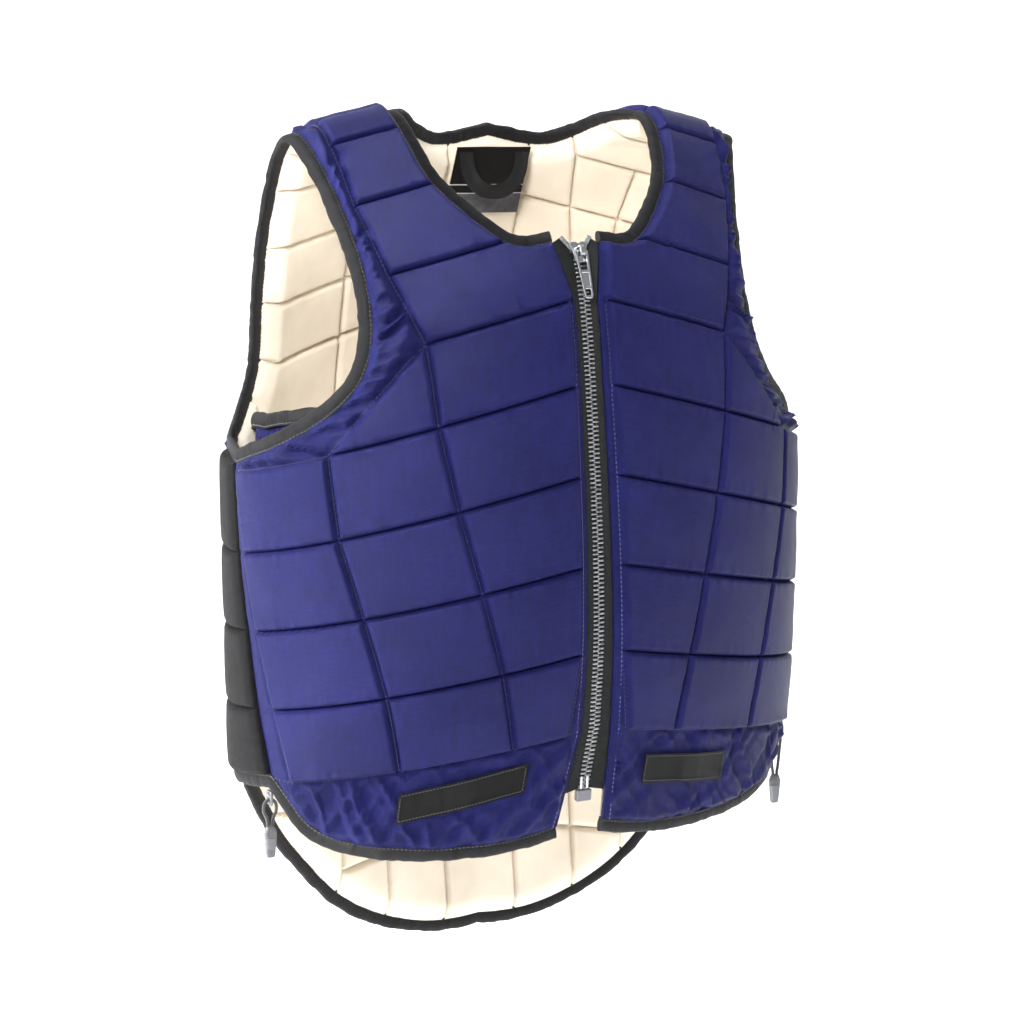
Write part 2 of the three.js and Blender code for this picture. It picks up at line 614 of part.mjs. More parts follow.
SIDES.forEach(([word], i) => {
  group.add(panel(`front_panel_${word}`, fronts[i], SHELL_TOP, SHELL_BOTTOM, NAVY));
  group.add(panel(`front_lining_${word}`, fronts[i], LINING_TOP, LINING_BOTTOM, CREAM));
});
group.add(panel("back_panel", back, { ...SHELL_TOP, rings: ONE_RING }, SHELL_BOTTOM, NAVY));
group.add(panel("back_lining", back, LINING_TOP, LINING_BOTTOM, CREAM));
const BAND_TOP = { seam: 0, edge: -EDGE_DEPTH / 2, rise: SIDE_BAND_RISE, rings: ONE_RING };
const BAND_BOTTOM = { seam: -SIDE_BAND_DEPTH, edge: -SIDE_BAND_DEPTH, rise: 0, rings: [] };
const bands = SIDES.map(([, side]) => sideNet(side));
SIDES.forEach(([word], i) => group.add(panel(`side_band_${word}`, bands[i], BAND_TOP, BAND_BOTTOM, BLACK)));

// Outline walks. Each takes the corners of a net, with the points its edges added between them.
function walk(net, ids) {
  const names = ids.flatMap((id, i) => (i + 1 < ids.length ? [id, ...net.between(id, ids[i + 1])] : [id]));
  return names.map((name) => net.corners.get(name));
}
const idsOf = (table, word) => table.map(({ id }) => id).filter((id) => id.startsWith(word));
const [frontRight, frontLeft] = fronts;
const NECK_IDS = ["neck_corner", "neck7", "neck8", "neck9", "neck10"];
const BACK_NECK_IDS = idsOf(BACK_NECK, "neck");
const backNeckPath = walk(back, [
  ...BACK_NECK_IDS.map((id) => `r_${id}`).reverse(), ...BACK_NECK_IDS.map((id) => `l_${id}`),
]);
const neckPath = [
  ...walk(frontRight, NECK_IDS),
  ...backNeckPath.slice(1, -1), // its ends lie on the front's, at the shoulder seams
  ...walk(frontLeft, NECK_IDS).reverse(),
];
group.add(sweep("neck_binding", edgeFrames(neckPath, EDGE_MIDDLE), BINDING_SECTION, BLACK));

const FRONT_ARM_IDS = ["side5", ...idsOf(FRONT_EDGE, "arm")];
const BACK_ARM_IDS = ["side5", ...idsOf(BACK_EDGE, "arm")];
SIDES.forEach(([word, side], i) => {
  const half = side < 0 ? "r_" : "l_";
  const path = [
    ...walk(fronts[i], FRONT_ARM_IDS),
    ...walk(back, BACK_ARM_IDS.map((id) => half + id)).reverse(),
  ];
  const frames = edgeFrames(side < 0 ? path.reverse() : path, EDGE_MIDDLE, true);
  group.add(sweep(`armhole_binding_${word}`, frames, BINDING_SECTION, BLACK, true));
});

const HEM_IDS = ["hem_zip", "hem_inner", "hem_outer", "hem_side", "side1"];
const TAIL_IDS = ["side1", "tail_end", "tail_arm", "tail_side", "tail_outer", "tail_inner", "tail_centre"];
const bandMiddle = (net) => walk(net, ["f1", "b1"]).slice(1, -1);
const hemPath = [
  ...walk(frontRight, HEM_IDS),
  ...bandMiddle(bands[0]),
  ...walk(back, [...TAIL_IDS.map((id) => `r_${id}`), ...TAIL_IDS.map((id) => `l_${id}`).reverse()]),
  ...bandMiddle(bands[1]),
  ...walk(frontLeft, HEM_IDS).reverse(),
];
group.add(sweep("hem_binding", edgeFrames(hemPath.reverse(), EDGE_MIDDLE), BINDING_SECTION, BLACK));

// Zip: two tapes that reach the panels, the closed chain between them, and the open teeth at the top.
const levelHeight = (level) => bodyPoint(0, level).distanceTo(bodyPoint(0, level + 1));
const ZIP_TOP_LEVEL = NECK_CORNER.level + CLEARANCE / levelHeight(NECK_CORNER.level - 1);
const ZIP_END_LEVEL = ZIP_END_RISE / levelHeight(0);
const SLIDER_LEVEL = NECK_CORNER.level - SLIDER_DROP / levelHeight(NECK_CORNER.level - 1);
const ACROSS = new THREE.Vector3(1, 0, 0);
const zipPoint = (level, across, lift) => bodyOffset(0, level, lift).addScaledVector(ACROSS, across);
const ZIP_STEP = 0.5;
const chainLevels = [ZIP_END_LEVEL];
for (let level = 1; level < SLIDER_LEVEL; level += ZIP_STEP) chainLevels.push(level);
chainLevels.push(SLIDER_LEVEL);
const zipFrame = (level, across, lift) => ({
  at: zipPoint(level, across, lift), away: ACROSS, normal: bodyNormal(0, level),
});
const half = CHAIN_WIDTH / 2;
const chainSection = [[-half, 0], [half, 0], [half, CHAIN_THICKNESS * 0.6], [half / 2, CHAIN_THICKNESS],
  [-half / 2, CHAIN_THICKNESS], [-half, CHAIN_THICKNESS * 0.6]];
const chainLift = -ZIP_RECESS - CHAIN_THICKNESS / 2;
group.add(sweep("zip_chain", chainLevels.map((level) => zipFrame(level, 0, chainLift)), chainSection, TEETH));

const mixLevel = (a, b, level) =>
  THREE.MathUtils.lerp(a.angle, b.angle, (level - a.level) / (b.level - a.level));
const SPREAD_LEVEL = SLIDER_LEVEL + 0.06; // above the slider the tapes part
const SPREAD_WIDTH = 10;
SIDES.forEach(([word, side], i) => {
  const edge = ["hem_zip", "zip1", "zip2", "zip3", "zip4", "zip5", "neck6", "neck_corner"];
  const places = walk(fronts[i], edge).filter(({ level }) => level > ZIP_END_LEVEL);
  const hem = fronts[i].corners.get("hem_zip");
  const first = { angle: mixLevel(hem, places[0], ZIP_END_LEVEL), level: ZIP_END_LEVEL };
  const before = places.at(-2);
  const spread = { angle: mixLevel(before, places.at(-1), SPREAD_LEVEL), level: SPREAD_LEVEL };
  const rows = [first, ...places.slice(0, -1), spread, places.at(-1)].map(({ angle, level }, k, all) => {
    const inside = k === all.length - 1 ? SPREAD_WIDTH : half + CLEARANCE;
    const middle = zipPoint(level, side * inside, -ZIP_RECESS - TAPE_THICKNESS / 2);
    const outer = bodyOffset(angle, level, -ZIP_RECESS / 2 - TAPE_THICKNESS)
      .addScaledVector(ACROSS, -side * CLEARANCE);
    return { from: middle, to: outer, normal: bodyNormal(0, level) };
  });
  group.add(strip(`zip_tape_${word}`, rows, TAPE_THICKNESS, TAPE));
  const teeth = [(SPREAD_LEVEL + ZIP_TOP_LEVEL) / 2, ZIP_TOP_LEVEL].map((level, k) => {
    const start = k ? SPREAD_WIDTH : (SPREAD_WIDTH + half) / 2;
    const lift = -ZIP_RECESS + TAPE_THICKNESS;
    return {
      from: zipPoint(level, side * start, lift),
      to: zipPoint(level, side * (start + half), lift),
      normal: bodyNormal(0, level),
    };
  });
  group.add(strip(`zip_teeth_${word}`, teeth, CHAIN_THICKNESS / 2, TEETH));
});

// A flat plate with holes, cut in the plane across the zip (x across, y up the zip, z outward).
function plate(name, outline, holes, thickness, surface, place) {
  const shape = new THREE.Shape(outline.map(([x, y]) => new THREE.Vector2(x, y)));
  for (const hole of holes) shape.holes.push(new THREE.Path(hole.map(([x, y]) => new THREE.Vector2(x, y))));
  const geometry = new THREE.ExtrudeGeometry(shape, { depth: thickness, bevelEnabled: false });
  const mesh = new THREE.Mesh(geometry, surface);
  mesh.name = name;
  place(mesh);
  return mesh;
}
const sliderAt = zipPoint(SLIDER_LEVEL, 0, chainLift + CHAIN_THICKNESS + CLEARANCE);
const sliderOut = bodyNormal(0, SLIDER_LEVEL);
const sliderTilt = new THREE.Matrix4().makeBasis(ACROSS, sliderOut.clone().cross(ACROSS), sliderOut);
// Moves a plate into the slider's own axes, lifted above the slider's underside.
const onSlider = (lift, turned = false) => (mesh) => {
  if (turned) mesh.geometry.rotateX(Math.PI / 2).rotateZ(Math.PI / 2).translate(-BRIDGE_WIDTH / 2, 0, 0);
  mesh.geometry.translate(0, 0, lift).applyMatrix4(sliderTilt).translate(...sliderAt.toArray());
};
const PLATE_THICKNESS = 1.8;
const BRIDGE_WIDTH = 3.4;
const BRIDGE_HEIGHT = 4.6;
const BRIDGE_WALL = 1.5;
const BRIDGE_OPENING = 2.1; // half the space under the bridge
const PULL_LIFT = PLATE_THICKNESS + 0.7; // underside of the pull above the slider's underside
const SLIDER_SHARES = [[-0.3, -0.5], [0.3, -0.5], [0.38, 0.05], [0.5, 0.3], [0.42, 0.5], [0.1, 0.5],
  [0, 0.38], [-0.1, 0.5], [-0.42, 0.5], [-0.5, 0.3], [-0.38, 0.05]];
const sliderOutline = SLIDER_SHARES.map(([x, y]) => [x * SLIDER_WIDTH, y * SLIDER_LENGTH]);
group.add(plate("zip_slider", sliderOutline, [], PLATE_THICKNESS, METAL, onSlider(0)));
const [low, high] = [-BRIDGE_OPENING - BRIDGE_WALL, BRIDGE_OPENING + BRIDGE_WALL];
const bridgeOutline = [[low, 0], [-BRIDGE_OPENING, 0], [-BRIDGE_OPENING, BRIDGE_HEIGHT - BRIDGE_WALL],
  [BRIDGE_OPENING, BRIDGE_HEIGHT - BRIDGE_WALL], [BRIDGE_OPENING, 0], [high, 0], [high, BRIDGE_HEIGHT * 0.8],
  [high * 0.6, BRIDGE_HEIGHT], [low * 0.6, BRIDGE_HEIGHT], [low, BRIDGE_HEIGHT * 0.8]];
const bridgeLift = PLATE_THICKNESS + CLEARANCE;
group.add(plate("zip_bridge", bridgeOutline, [], BRIDGE_WIDTH, METAL, onSlider(bridgeLift, true)));

// The pull hangs from its top bar, which runs through the bridge.
const pullTop = PULL_BAR / 2;
const pullTaper = 0.62;
const atShare = (share) => (PULL_WIDTH / 2) * THREE.MathUtils.lerp(1, pullTaper, share);
const pullY = (share) => pullTop - PULL_LENGTH * share;
const ring = (from, to, inset) => [[-atShare(from) + inset, pullY(from)], [-atShare(to) + inset, pullY(to)],
  [atShare(to) - inset, pullY(to)], [atShare(from) - inset, pullY(from)]];
const pullOutline = ring(0, 1, 0);
const window1 = ring(PULL_BAR / PULL_LENGTH, 0.42, PULL_BAR);
const window2 = ring(0.8, 0.95, PULL_BAR * 0.8);
group.add(plate("zip_pull", pullOutline, [window1, window2], PULL_THICKNESS, METAL, onSlider(PULL_LIFT)));

// Stop box at the lower end.
const stopAt = zipPoint(ZIP_END_LEVEL, 0, chainLift);
const stopOut = bodyNormal(0, ZIP_END_LEVEL);
const stop = new THREE.Mesh(new THREE.BoxGeometry(STOP_WIDTH, STOP_LENGTH, CHAIN_THICKNESS + 1), METAL);
stop.geometry.translate(0, -STOP_LENGTH / 2 - 2 * CLEARANCE, CHAIN_THICKNESS / 2)
  .applyMatrix4(new THREE.Matrix4().makeBasis(ACROSS, stopOut.clone().cross(ACROSS), stopOut))
  .translate(...stopAt.toArray());
stop.name = "zip_stop";
group.add(stop);

// Bare labels sewn over the hem cloth.
const HEM_LABELS = [
  { name: "hem_label_right", length: RIGHT_LABEL_LENGTH, middle: -26.2, level: 0.64, tilt: 0.06 },
  { name: "hem_label_left", length: LEFT_LABEL_LENGTH, middle: 21.8, level: 0.6, tilt: 0.02 },
];
const LABEL_STEPS = 6;
const LABEL_LIFT = 2.3;
for (const { name, length, middle, level, tilt } of HEM_LABELS) {
  const degree = bodyPoint(middle + 1 / 2, level).distanceTo(bodyPoint(middle - 1 / 2, level));
  const rows = Array.from({ length: LABEL_STEPS + 1 }, (_, k) => {
    const share = k / LABEL_STEPS;
    const angle = middle + (length / degree) * (share - 1 / 2);
    const at = level + tilt * (share - 1 / 2);
    const centre = bodyOffset(angle, at, LABEL_LIFT);
    const normal = bodyNormal(angle, at);
    const up = bodyPoint(angle, at + LEVEL_STEP).sub(bodyPoint(angle, at)).normalize();
    return {
      from: centre.clone().addScaledVector(up, -HEM_LABEL_HEIGHT / 2),
      to: centre.clone().addScaledVector(up, HEM_LABEL_HEIGHT / 2),
      normal,
    };
  });
  group.add(strip(name, rows, LABEL_THICKNESS, LABEL));
}

// Neck label and hanging loop, inside the back below the neck binding.
const INNER_FACE = SEAM_DEPTH + CLEARANCE + LINING_SEAM + LINING_RISE;
const NECK_LABEL_TOP = 8.1;
const NECK_LABEL_STAND = 2.3; // the flat label bridges the drooping seams
const neckInside = (across, drop, lift) => {
  const at = bodyOffset(HALF_TURN, NECK_LABEL_TOP, -INNER_FACE - NECK_LABEL_STAND - lift);
  const slope = bodyPoint(HALF_TURN, NECK_LABEL_TOP - 1).sub(bodyPoint(HALF_TURN, NECK_LABEL_TOP));
  return at.addScaledVector(ACROSS, across).addScaledVector(slope.normalize(), drop);
};
const neckNormal = bodyNormal(HALF_TURN, NECK_LABEL_TOP);
group.add(strip("neck_label", [-1, 1].map((end) => ({
  from: neckInside(end * NECK_LABEL_WIDTH / 2, 0, LABEL_THICKNESS + CLEARANCE),
  to: neckInside(end * NECK_LABEL_WIDTH / 2, NECK_LABEL_HEIGHT, LABEL_THICKNESS + CLEARANCE),
  normal: neckNormal,
})), LABEL_THICKNESS, LABEL));
const UP = new THREE.Vector3(0, 0, 1);
const BACKWARD = new THREE.Vector3(0, 1, 0);
const LOOP_SQUARENESS = 0.8;
const LOOP_STEPS = 12; // the loop hangs straight down, clear of the sloping back
const loopLift = LABEL_THICKNESS + 2 * CLEARANCE + LOOP_THICKNESS;
group.add(strip("hang_loop", Array.from({ length: LOOP_STEPS + 1 }, (_, k) => {
  const turn = Math.PI * (k / LOOP_STEPS);
  const across = -Math.cos(turn);
  const fall = Math.sin(turn) ** LOOP_SQUARENESS;
  const inner = LOOP_SPAN / 2 - LOOP_WIDTH / 2;
  const outer = LOOP_SPAN / 2 + LOOP_WIDTH / 2;
  return {
    from: neckInside(across * inner, 0, loopLift).addScaledVector(UP, -fall * (LOOP_DROP - LOOP_WIDTH)),
    to: neckInside(across * outer, 0, loopLift).addScaledVector(UP, -fall * LOOP_DROP),
    normal: BACKWARD,
  };
}), LOOP_THICKNESS, BLACK));

// Underarm wings: thin cloth from the back that passes inside the front under each arm.
const WING = [
  { angle: 62, level: 5.5, inset: 1 },
  { angle: 70, level: 5.52, inset: 1 },
  { angle: 78, level: 5.53, inset: 1 },
  { angle: 86, level: 5.52, inset: 0.98 },
  { angle: 96, level: 5.5, inset: 0.9 },
  { angle: 105, level: 5.45, inset: 0.76 },
  { angle: 112, level: 5.36, inset: 0.66 },
  { angle: 118, level: 5.25, inset: 0.6 },
];
const WING_DEPTH = 0.75; // levels
for (const [word, side] of SIDES) {
  const rows = WING.map(({ angle, level, inset }) => ({
    from: bodyOffset(side * angle, level - WING_DEPTH, -WING_INSET * inset - WING_THICKNESS),
    to: bodyOffset(side * angle, level, -WING_INSET * inset - WING_THICKNESS),
    normal: bodyNormal(side * angle, level),
  }));
  group.add(strip(`underarm_wing_${word}`, rows, WING_THICKNESS, NAVY));
  const frames = rows.map(({ from, to, normal }) => {
    const at = to.clone().addScaledVector(normal, WING_THICKNESS / 2);
    return { at, away: to.clone().sub(from).normalize(), normal };
  });
  group.add(sweep(`wing_binding_${word}`, frames, BINDING_SECTION, BLACK));
}

// Side cords: each is one cord doubled through a ring at the lower side corner, closed by a cord end.
const CORD_DROPS = { right: RIGHT_CORD_DROP, left: LEFT_CORD_DROP };
const CORD_STEPS = 18;
// Half the route of the cord, in mm from the ring's lower bar: up from its entry in the cord end, round a
// soft bend and over the bar. The other half mirrors it. Rise counts from the entry where that is set.
const CORD_ROUTE = [
  { across: 1.6, rise: 0, entry: true },
  { across: 1.8, rise: 2.6, entry: true },
  { across: 2.4, rise: 5.6, entry: true },
  { across: 4.1, rise: -6 },
  { across: 4.4, rise: -4 },
  { across: 4.4, rise: -2 },
  { across: 3.8, rise: 0.2 },
  { across: 2.4, rise: 1.8 },
  { across: 0, rise: 2.6 },
];
const RING_ANGLE = 74.5;
const RING_LEVEL = 1.05;
const RING_HANG = BINDING_WIDTH; // lower side corner to the top of the ring
const RING_SEGMENTS = 10;
const RING_SIDES = 5;
for (const [word, side] of SIDES) {
  const hang = bodyOffset(side * RING_ANGLE, RING_LEVEL, -EDGE_MIDDLE);
  const outer = EYELET_RADIUS - EYELET_BAR / 2;
  const centre = hang.clone().add(new THREE.Vector3(0, 0, -RING_HANG - EYELET_RADIUS));
  const torus = new THREE.TorusGeometry(outer, EYELET_BAR / 2, RING_SIDES, RING_SEGMENTS);
  const ringMesh = new THREE.Mesh(torus, METAL);
  ringMesh.geometry.rotateY(Math.PI / 2).translate(...centre.toArray());
  ringMesh.name = `lace_ring_${word}`;
  group.add(ringMesh);
  const bar = centre.clone().add(new THREE.Vector3(0, 0, -outer));
  const drop = CORD_DROPS[word];
  const at = (across, up) => bar.clone().add(new THREE.Vector3(across, 0, up));
  const climb = CORD_ROUTE.map(({ across, rise, entry }) => [across, entry ? rise - drop : rise]);
  const mirrored = climb.slice(0, -1).map(([across, up]) => [-across, up]);
  const route = new THREE.CatmullRomCurve3([...mirrored, ...climb.toReversed()].map(([x, up]) => at(x, up)));
  const circle = new THREE.Shape(Array.from({ length: CORD_SIDES }, (_, k) => {
    const turn = (2 * Math.PI * k) / CORD_SIDES;
    return new THREE.Vector2(Math.cos(turn), Math.sin(turn)).multiplyScalar(CORD_DIAMETER / 2);
  }));
  const tube = new THREE.ExtrudeGeometry(circle, { steps: CORD_STEPS, extrudePath: route });
  const cord = new THREE.Mesh(tube, BLACK);
  cord.name = `side_cord_${word}`;
  group.add(cord);
  const [wide, narrow, shoulder] = [CORD_END_WIDTH / 2, CORD_END_WIDTH * 0.34, CORD_END_WIDTH * 0.36];
  const endOutline = [[-shoulder, 0], [-wide, -wide * 0.5], [-narrow, -CORD_END_LENGTH],
    [narrow, -CORD_END_LENGTH], [wide, -wide * 0.5], [shoulder, 0]];
  group.add(plate(`cord_end_${word}`, endOutline, [], CORD_END_THICKNESS, GREY, (mesh) => {
    mesh.geometry.translate(0, 0, -CORD_END_THICKNESS / 2).rotateX(Math.PI / 2)
      .translate(...at(0, -drop - CLEARANCE).toArray());
  }));
}

export default group;
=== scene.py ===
import json
import math

import bmesh
import bpy
import numpy as np
from mathutils import Matrix, Vector
from mathutils.geometry import delaunay_2d_cdt
from mathutils.kdtree import KDTree

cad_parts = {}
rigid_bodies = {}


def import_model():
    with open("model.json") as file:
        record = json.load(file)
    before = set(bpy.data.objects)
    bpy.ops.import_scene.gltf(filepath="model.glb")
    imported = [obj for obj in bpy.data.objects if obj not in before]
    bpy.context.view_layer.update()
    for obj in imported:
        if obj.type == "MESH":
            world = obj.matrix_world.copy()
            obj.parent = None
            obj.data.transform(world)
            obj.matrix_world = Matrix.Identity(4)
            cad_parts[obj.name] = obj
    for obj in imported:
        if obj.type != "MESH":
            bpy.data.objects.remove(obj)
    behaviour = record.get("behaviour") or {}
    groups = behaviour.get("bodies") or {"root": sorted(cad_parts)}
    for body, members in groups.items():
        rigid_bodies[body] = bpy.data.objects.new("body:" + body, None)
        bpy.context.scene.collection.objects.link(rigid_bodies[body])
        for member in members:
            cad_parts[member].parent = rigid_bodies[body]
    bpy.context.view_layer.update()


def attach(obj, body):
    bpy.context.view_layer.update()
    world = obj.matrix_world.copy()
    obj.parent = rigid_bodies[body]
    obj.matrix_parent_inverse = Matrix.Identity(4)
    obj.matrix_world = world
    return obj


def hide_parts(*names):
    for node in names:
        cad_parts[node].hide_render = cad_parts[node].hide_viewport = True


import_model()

# Padded riding vest, dressed. Metres, +Z up, the front faces -Y and the wearer's right is -X.
MM = 0.001
SIDES = [("right", -1), ("left", 1)]
ACROSS = np.array([1.0, 0.0, 0.0])
UP = np.array([0.0, 0.0, 1.0])

# Camera: the photograph's angle, in degrees, and its place in metres.
CAMERA_TURN = 26.8
CAMERA_DROP = 9.0
CAMERA_REACH = 1.584
CAMERA_SHIFT_X = -0.03476
CAMERA_SHIFT_Z = -0.01725
CAMERA_AIM = np.array([0.0, -0.0704, -0.2288])
CAMERA_LENS = 84.375
CAMERA_SENSOR = 36.0


def make_camera():
    turn, drop = math.radians(CAMERA_TURN), math.radians(CAMERA_DROP)
    right = np.array([math.cos(turn), -math.sin(turn), 0.0])
    level = np.array([math.sin(turn), math.cos(turn), 0.0])
    ahead = level * math.cos(drop) - UP * math.sin(drop)
    upward = level * math.sin(drop) + UP * math.cos(drop)
    place = CAMERA_AIM + CAMERA_SHIFT_X * right - CAMERA_REACH * ahead + CAMERA_SHIFT_Z * upward
    data = bpy.data.cameras.new("camera")
    data.lens = CAMERA_LENS
    data.sensor_width = CAMERA_SENSOR
    camera = bpy.data.objects.new("camera", data)
    axes = Matrix([list(right), list(upward), list(-ahead)]).transposed().to_4x4()
    camera.matrix_world = Matrix.Translation(Vector(place)) @ axes
    bpy.context.scene.collection.objects.link(camera)
    bpy.context.scene.camera = camera


make_camera()

# The body map of the CAD source: a point for each angle round the body (degrees, 0 front centre,
# 90 the wearer's left side, 180 back centre) and each seam level.
BODY_LENGTH = 640 * MM
RIDGE_RISE = 36 * MM
CHEST_WIDTH = 412 * MM
CHEST_DEPTH = 214 * MM
HEM_SWAY = 9 * MM
DROOP_SHARE = 0.35
SECTIONS = [
    # level, down, front, back, fullness, droop
    (-3, 1.0, 0.47, 0.29, 1.9, 0.1),
    (-2, 0.923, 0.477, 0.31, 1.9, 0.12),
    (-1, 0.838, 0.495, 0.346, 1.9, 0.14),
    (0, 0.752, 0.514, 0.383, 1.9, 0.16),
    (1, 0.653, 0.542, 0.411, 1.9, 0.15),
    (2, 0.569, 0.565, 0.43, 1.95, 0.17),
    (3, 0.481, 0.561, 0.439, 2, 0.19),
    (4, 0.39, 0.537, 0.444, 2.1, 0.22),
    (5, 0.3, 0.505, 0.439, 2.15, 0.24),
    (6, 0.216, 0.463, 0.421, 2.1, 0.25),
    (7, 0.144, 0.383, 0.355, 2, 0.25),
    (8, 0.073, 0.257, 0.257, 2, 0.25),
    (9, 0.016, 0.121, 0.14, 2, 0.24),
    (10, 0, 0, 0, 2, 0.22),
]
RIDGE_LEVEL = 10
LOWEST_LEVEL = -3
RIDGE_GAP = 0.03
FULL_TURN = 360

FRONT_SEAMS = [
    # row, zip, start, inner, outer, side
    (1, 3.2, 5.8, 16.8, 39.5, 66),
    (2, 2.9, 4.1, 19.4, 42.3, 71),
    (3, 2.7, 3.8, 23.1, 46.6, 76),
    (4, 2.6, 3.6, 26.8, 50.8, 80),
    (5, 2.5, 3.4, 29.6, 52.2, 83),
]
STRAP_SEAMS = [
    # row, neck, arm
    (6, 2.6, 31.1),
    (7, 13.1, 37),
    (8, 24.1, 41.4),
    (9, 27.6, 43.9),
    (10, 28, 45.1),
]
FRONT_EDGE = [
    ("hem_zip", 4.8, 0),
    ("hem_inner", 16.5, 0),
    ("hem_outer", 38, 0.18),
    ("hem_side", 59, 0.5),
    ("side1", 73, 1.08),
    ("side2", 77.3, 2),
    ("side3", 81, 3),
    ("side4", 84.5, 4),
    ("side5", 86.5, 5.1),
    ("arm_side", 79, 5.16),
    ("arm_low", 66, 5.26),
    ("arm_turn", 53.5, 5.44),
    ("arm_bend", 45.6, 5.73),
    ("arm6", 42, 6.2),
    ("arm7", 41.9, 7.05),
    ("arm8", 44.4, 8.02),
    ("arm9", 48.3, 9),
    ("arm10", 51.4, 10),
]
TAPER_TIP = (33, 5.93)
NECK_CORNER = (4.9, 6.84)
BACK_SEAMS = [
    # row, level, centre, inner, outer, arm, side
    ("tail", -0.9, 172.2, 158.3, 145.6, None, None),
    (0, 0, 172, 157.8, 146.5, None, None),
    (1, 1, 171.6, 157.2, 147, 124, None),
    (2, 2, 171.2, 156.8, 147.4, 124, 112),
    (3, 3, 171, 156.4, 148, 124, 112),
    (4, 4, 171, 156, 148.5, 124, 112),
    (5, 5, 171, 156, 149, 124, 112.5),
    (6, 5.9, 171, 156.4, 150, 130, None),
    (7, 6.8, 171, 157.5, 149.4, 128.4, None),
    (8, 7.6, 171, 160, 149, 128.8, None),
]
BACK_EDGE = [
    ("tail_centre", 172.2, -2.08),
    ("tail_inner", 158.3, -1.75),
    ("tail_outer", 145.4, -1.2),
    ("tail_side", 133, -0.38),
    ("tail_arm", 123, 0.25),
    ("tail_end", 114.5, 0.68),
    ("side1", 107, 1.05),
    ("side2", 108, 2),
    ("side3", 108, 3),
    ("side4", 108, 4),
    ("side5", 108, 5.12),
    ("arm_side", 111.5, 5.2),
    ("arm_low", 117, 5.32),
    ("arm_turn", 122.5, 5.58),
    ("arm6", 125.6, 6.02),
    ("arm7", 124.2, 6.85),
    ("arm8", 124.4, 7.6),
    ("arm_strap", 126.4, 8.45),
    ("arm9", 128, 9.25),
    ("arm10", 128.6, 10),
]
BACK_NECK = [
    ("neck_centre", 171, 8.36),
    ("neck_inner", 162.6, 8.7),
    ("neck9", 157.4, 9.25),
    ("neck10", 152, 10),
]
BACK_STRAP = [
    ("strap_inner", 161.6, 8.45),
    ("strap_outer", 147.5, 8.45),
    ("strap_arm", 130.4, 8.45),
    ("strap9", 132.6, 9.25),
    ("strap10", 134.9, 10),
]


def ids_of(table, word):
    return [row[0] for row in table if row[0].startswith(word)]


NECK_IDS = ["neck_corner", "neck7", "neck8", "neck9", "neck10"]
BACK_NECK_IDS = ids_of(BACK_NECK, "neck")
HEM_IDS = ["hem_zip", "hem_inner", "hem_outer", "hem_side", "side1"]
TAIL_IDS = ["side1", "tail_end", "tail_arm", "tail_side", "tail_outer", "tail_inner", "tail_centre"]
ARM_FRONT_IDS = ["side5"] + ids_of(FRONT_EDGE, "arm")
ARM_BACK_IDS = ["side5"] + ids_of(BACK_EDGE, "arm")


def over_back(names):
    """Corners from the right half to the middle of the back, and out again on the left half."""
    return [f"r_{name}" for name in names] + [f"l_{name}" for name in names[::-1]]


def spline(p0, p1, p2, p3, t):
    a, b = 2 * p1, p2 - p0
    c, d = 2 * p0 - 5 * p1 + 4 * p2 - p3, p3 - p0 - 3 * p2 + 3 * p1
    return (a + b * t + c * t * t + d * t ** 3) / 2


# Section values on a fine grid of levels, read back by interpolation.
GRID_STEP = 0.01


def section_column(key):
    first, second = SECTIONS[0][key], SECTIONS[1][key]
    values = [2 * first - second] + [row[key] for row in SECTIONS]
    sign = -1 if key in (2, 3) else 1
    values += [sign * SECTIONS[-2][key], sign * SECTIONS[-3][key]]
    steps = round(1 / GRID_STEP)
    return np.array([
        spline(*values[i:i + 4], k / steps) for i in range(len(SECTIONS)) for k in range(steps)
    ])


COLUMNS = [section_column(key) for key in range(1, 6)]
GRID_LEVELS = LOWEST_LEVEL + GRID_STEP * np.arange(len(COLUMNS[0]))


def body_point(angle, level):
    """Outer cloth of the body at a seam, for arrays of angles in degrees and of levels."""
    down, front, back, fullness, droop = (np.interp(level, GRID_LEVELS, column) for column in COLUMNS)
    front, back = CHEST_DEPTH * front, CHEST_DEPTH * back
    sine, cosine = np.sin(np.radians(angle)), np.cos(np.radians(angle))
    norm = (np.abs(sine) ** fullness + np.abs(cosine) ** fullness) ** (1 / fullness)
    across, forward = CHEST_WIDTH / 2 * sine / norm, cosine / norm
    depth = np.where(forward > 0, front, back)
    run = np.abs(across) + DROOP_SHARE * (1 - np.abs(forward)) * np.abs(front + back) / 2
    sway = HEM_SWAY * np.clip(1 - level, 0, 1) * np.clip(forward, 0, 1)
    z = RIDGE_RISE - BODY_LENGTH * down - droop * run
    return np.stack([across - sway, -depth * forward, z], axis=-1)


def unit(vectors):
    return vectors / np.linalg.norm(vectors, axis=-1, keepdims=True)


def line_run(line):
    """Distance run along a line of points, at each of them."""
    return np.concatenate([[0], np.cumsum(np.linalg.norm(np.diff(line, axis=0), axis=1))])


def body_normal(angle, level):
    level = np.where(level > RIDGE_LEVEL - 2 * RIDGE_GAP, RIDGE_LEVEL, level)
    along = body_point(angle + 0.5, level) - body_point(angle - 0.5, level)
    up = body_point(angle, level + 0.05) - body_point(angle, level - 0.05)
    return unit(np.cross(along, up))


def body_offset(angle, level, lift):
    lift = np.asarray(lift)[..., None] if np.ndim(lift) else lift
    return body_point(angle, level) + body_normal(angle, level) * lift


# Smooth seeded noise along a line.
RNG = np.random.default_rng(7)
NOISE_TABLE = RNG.uniform(-1, 1, 4096)


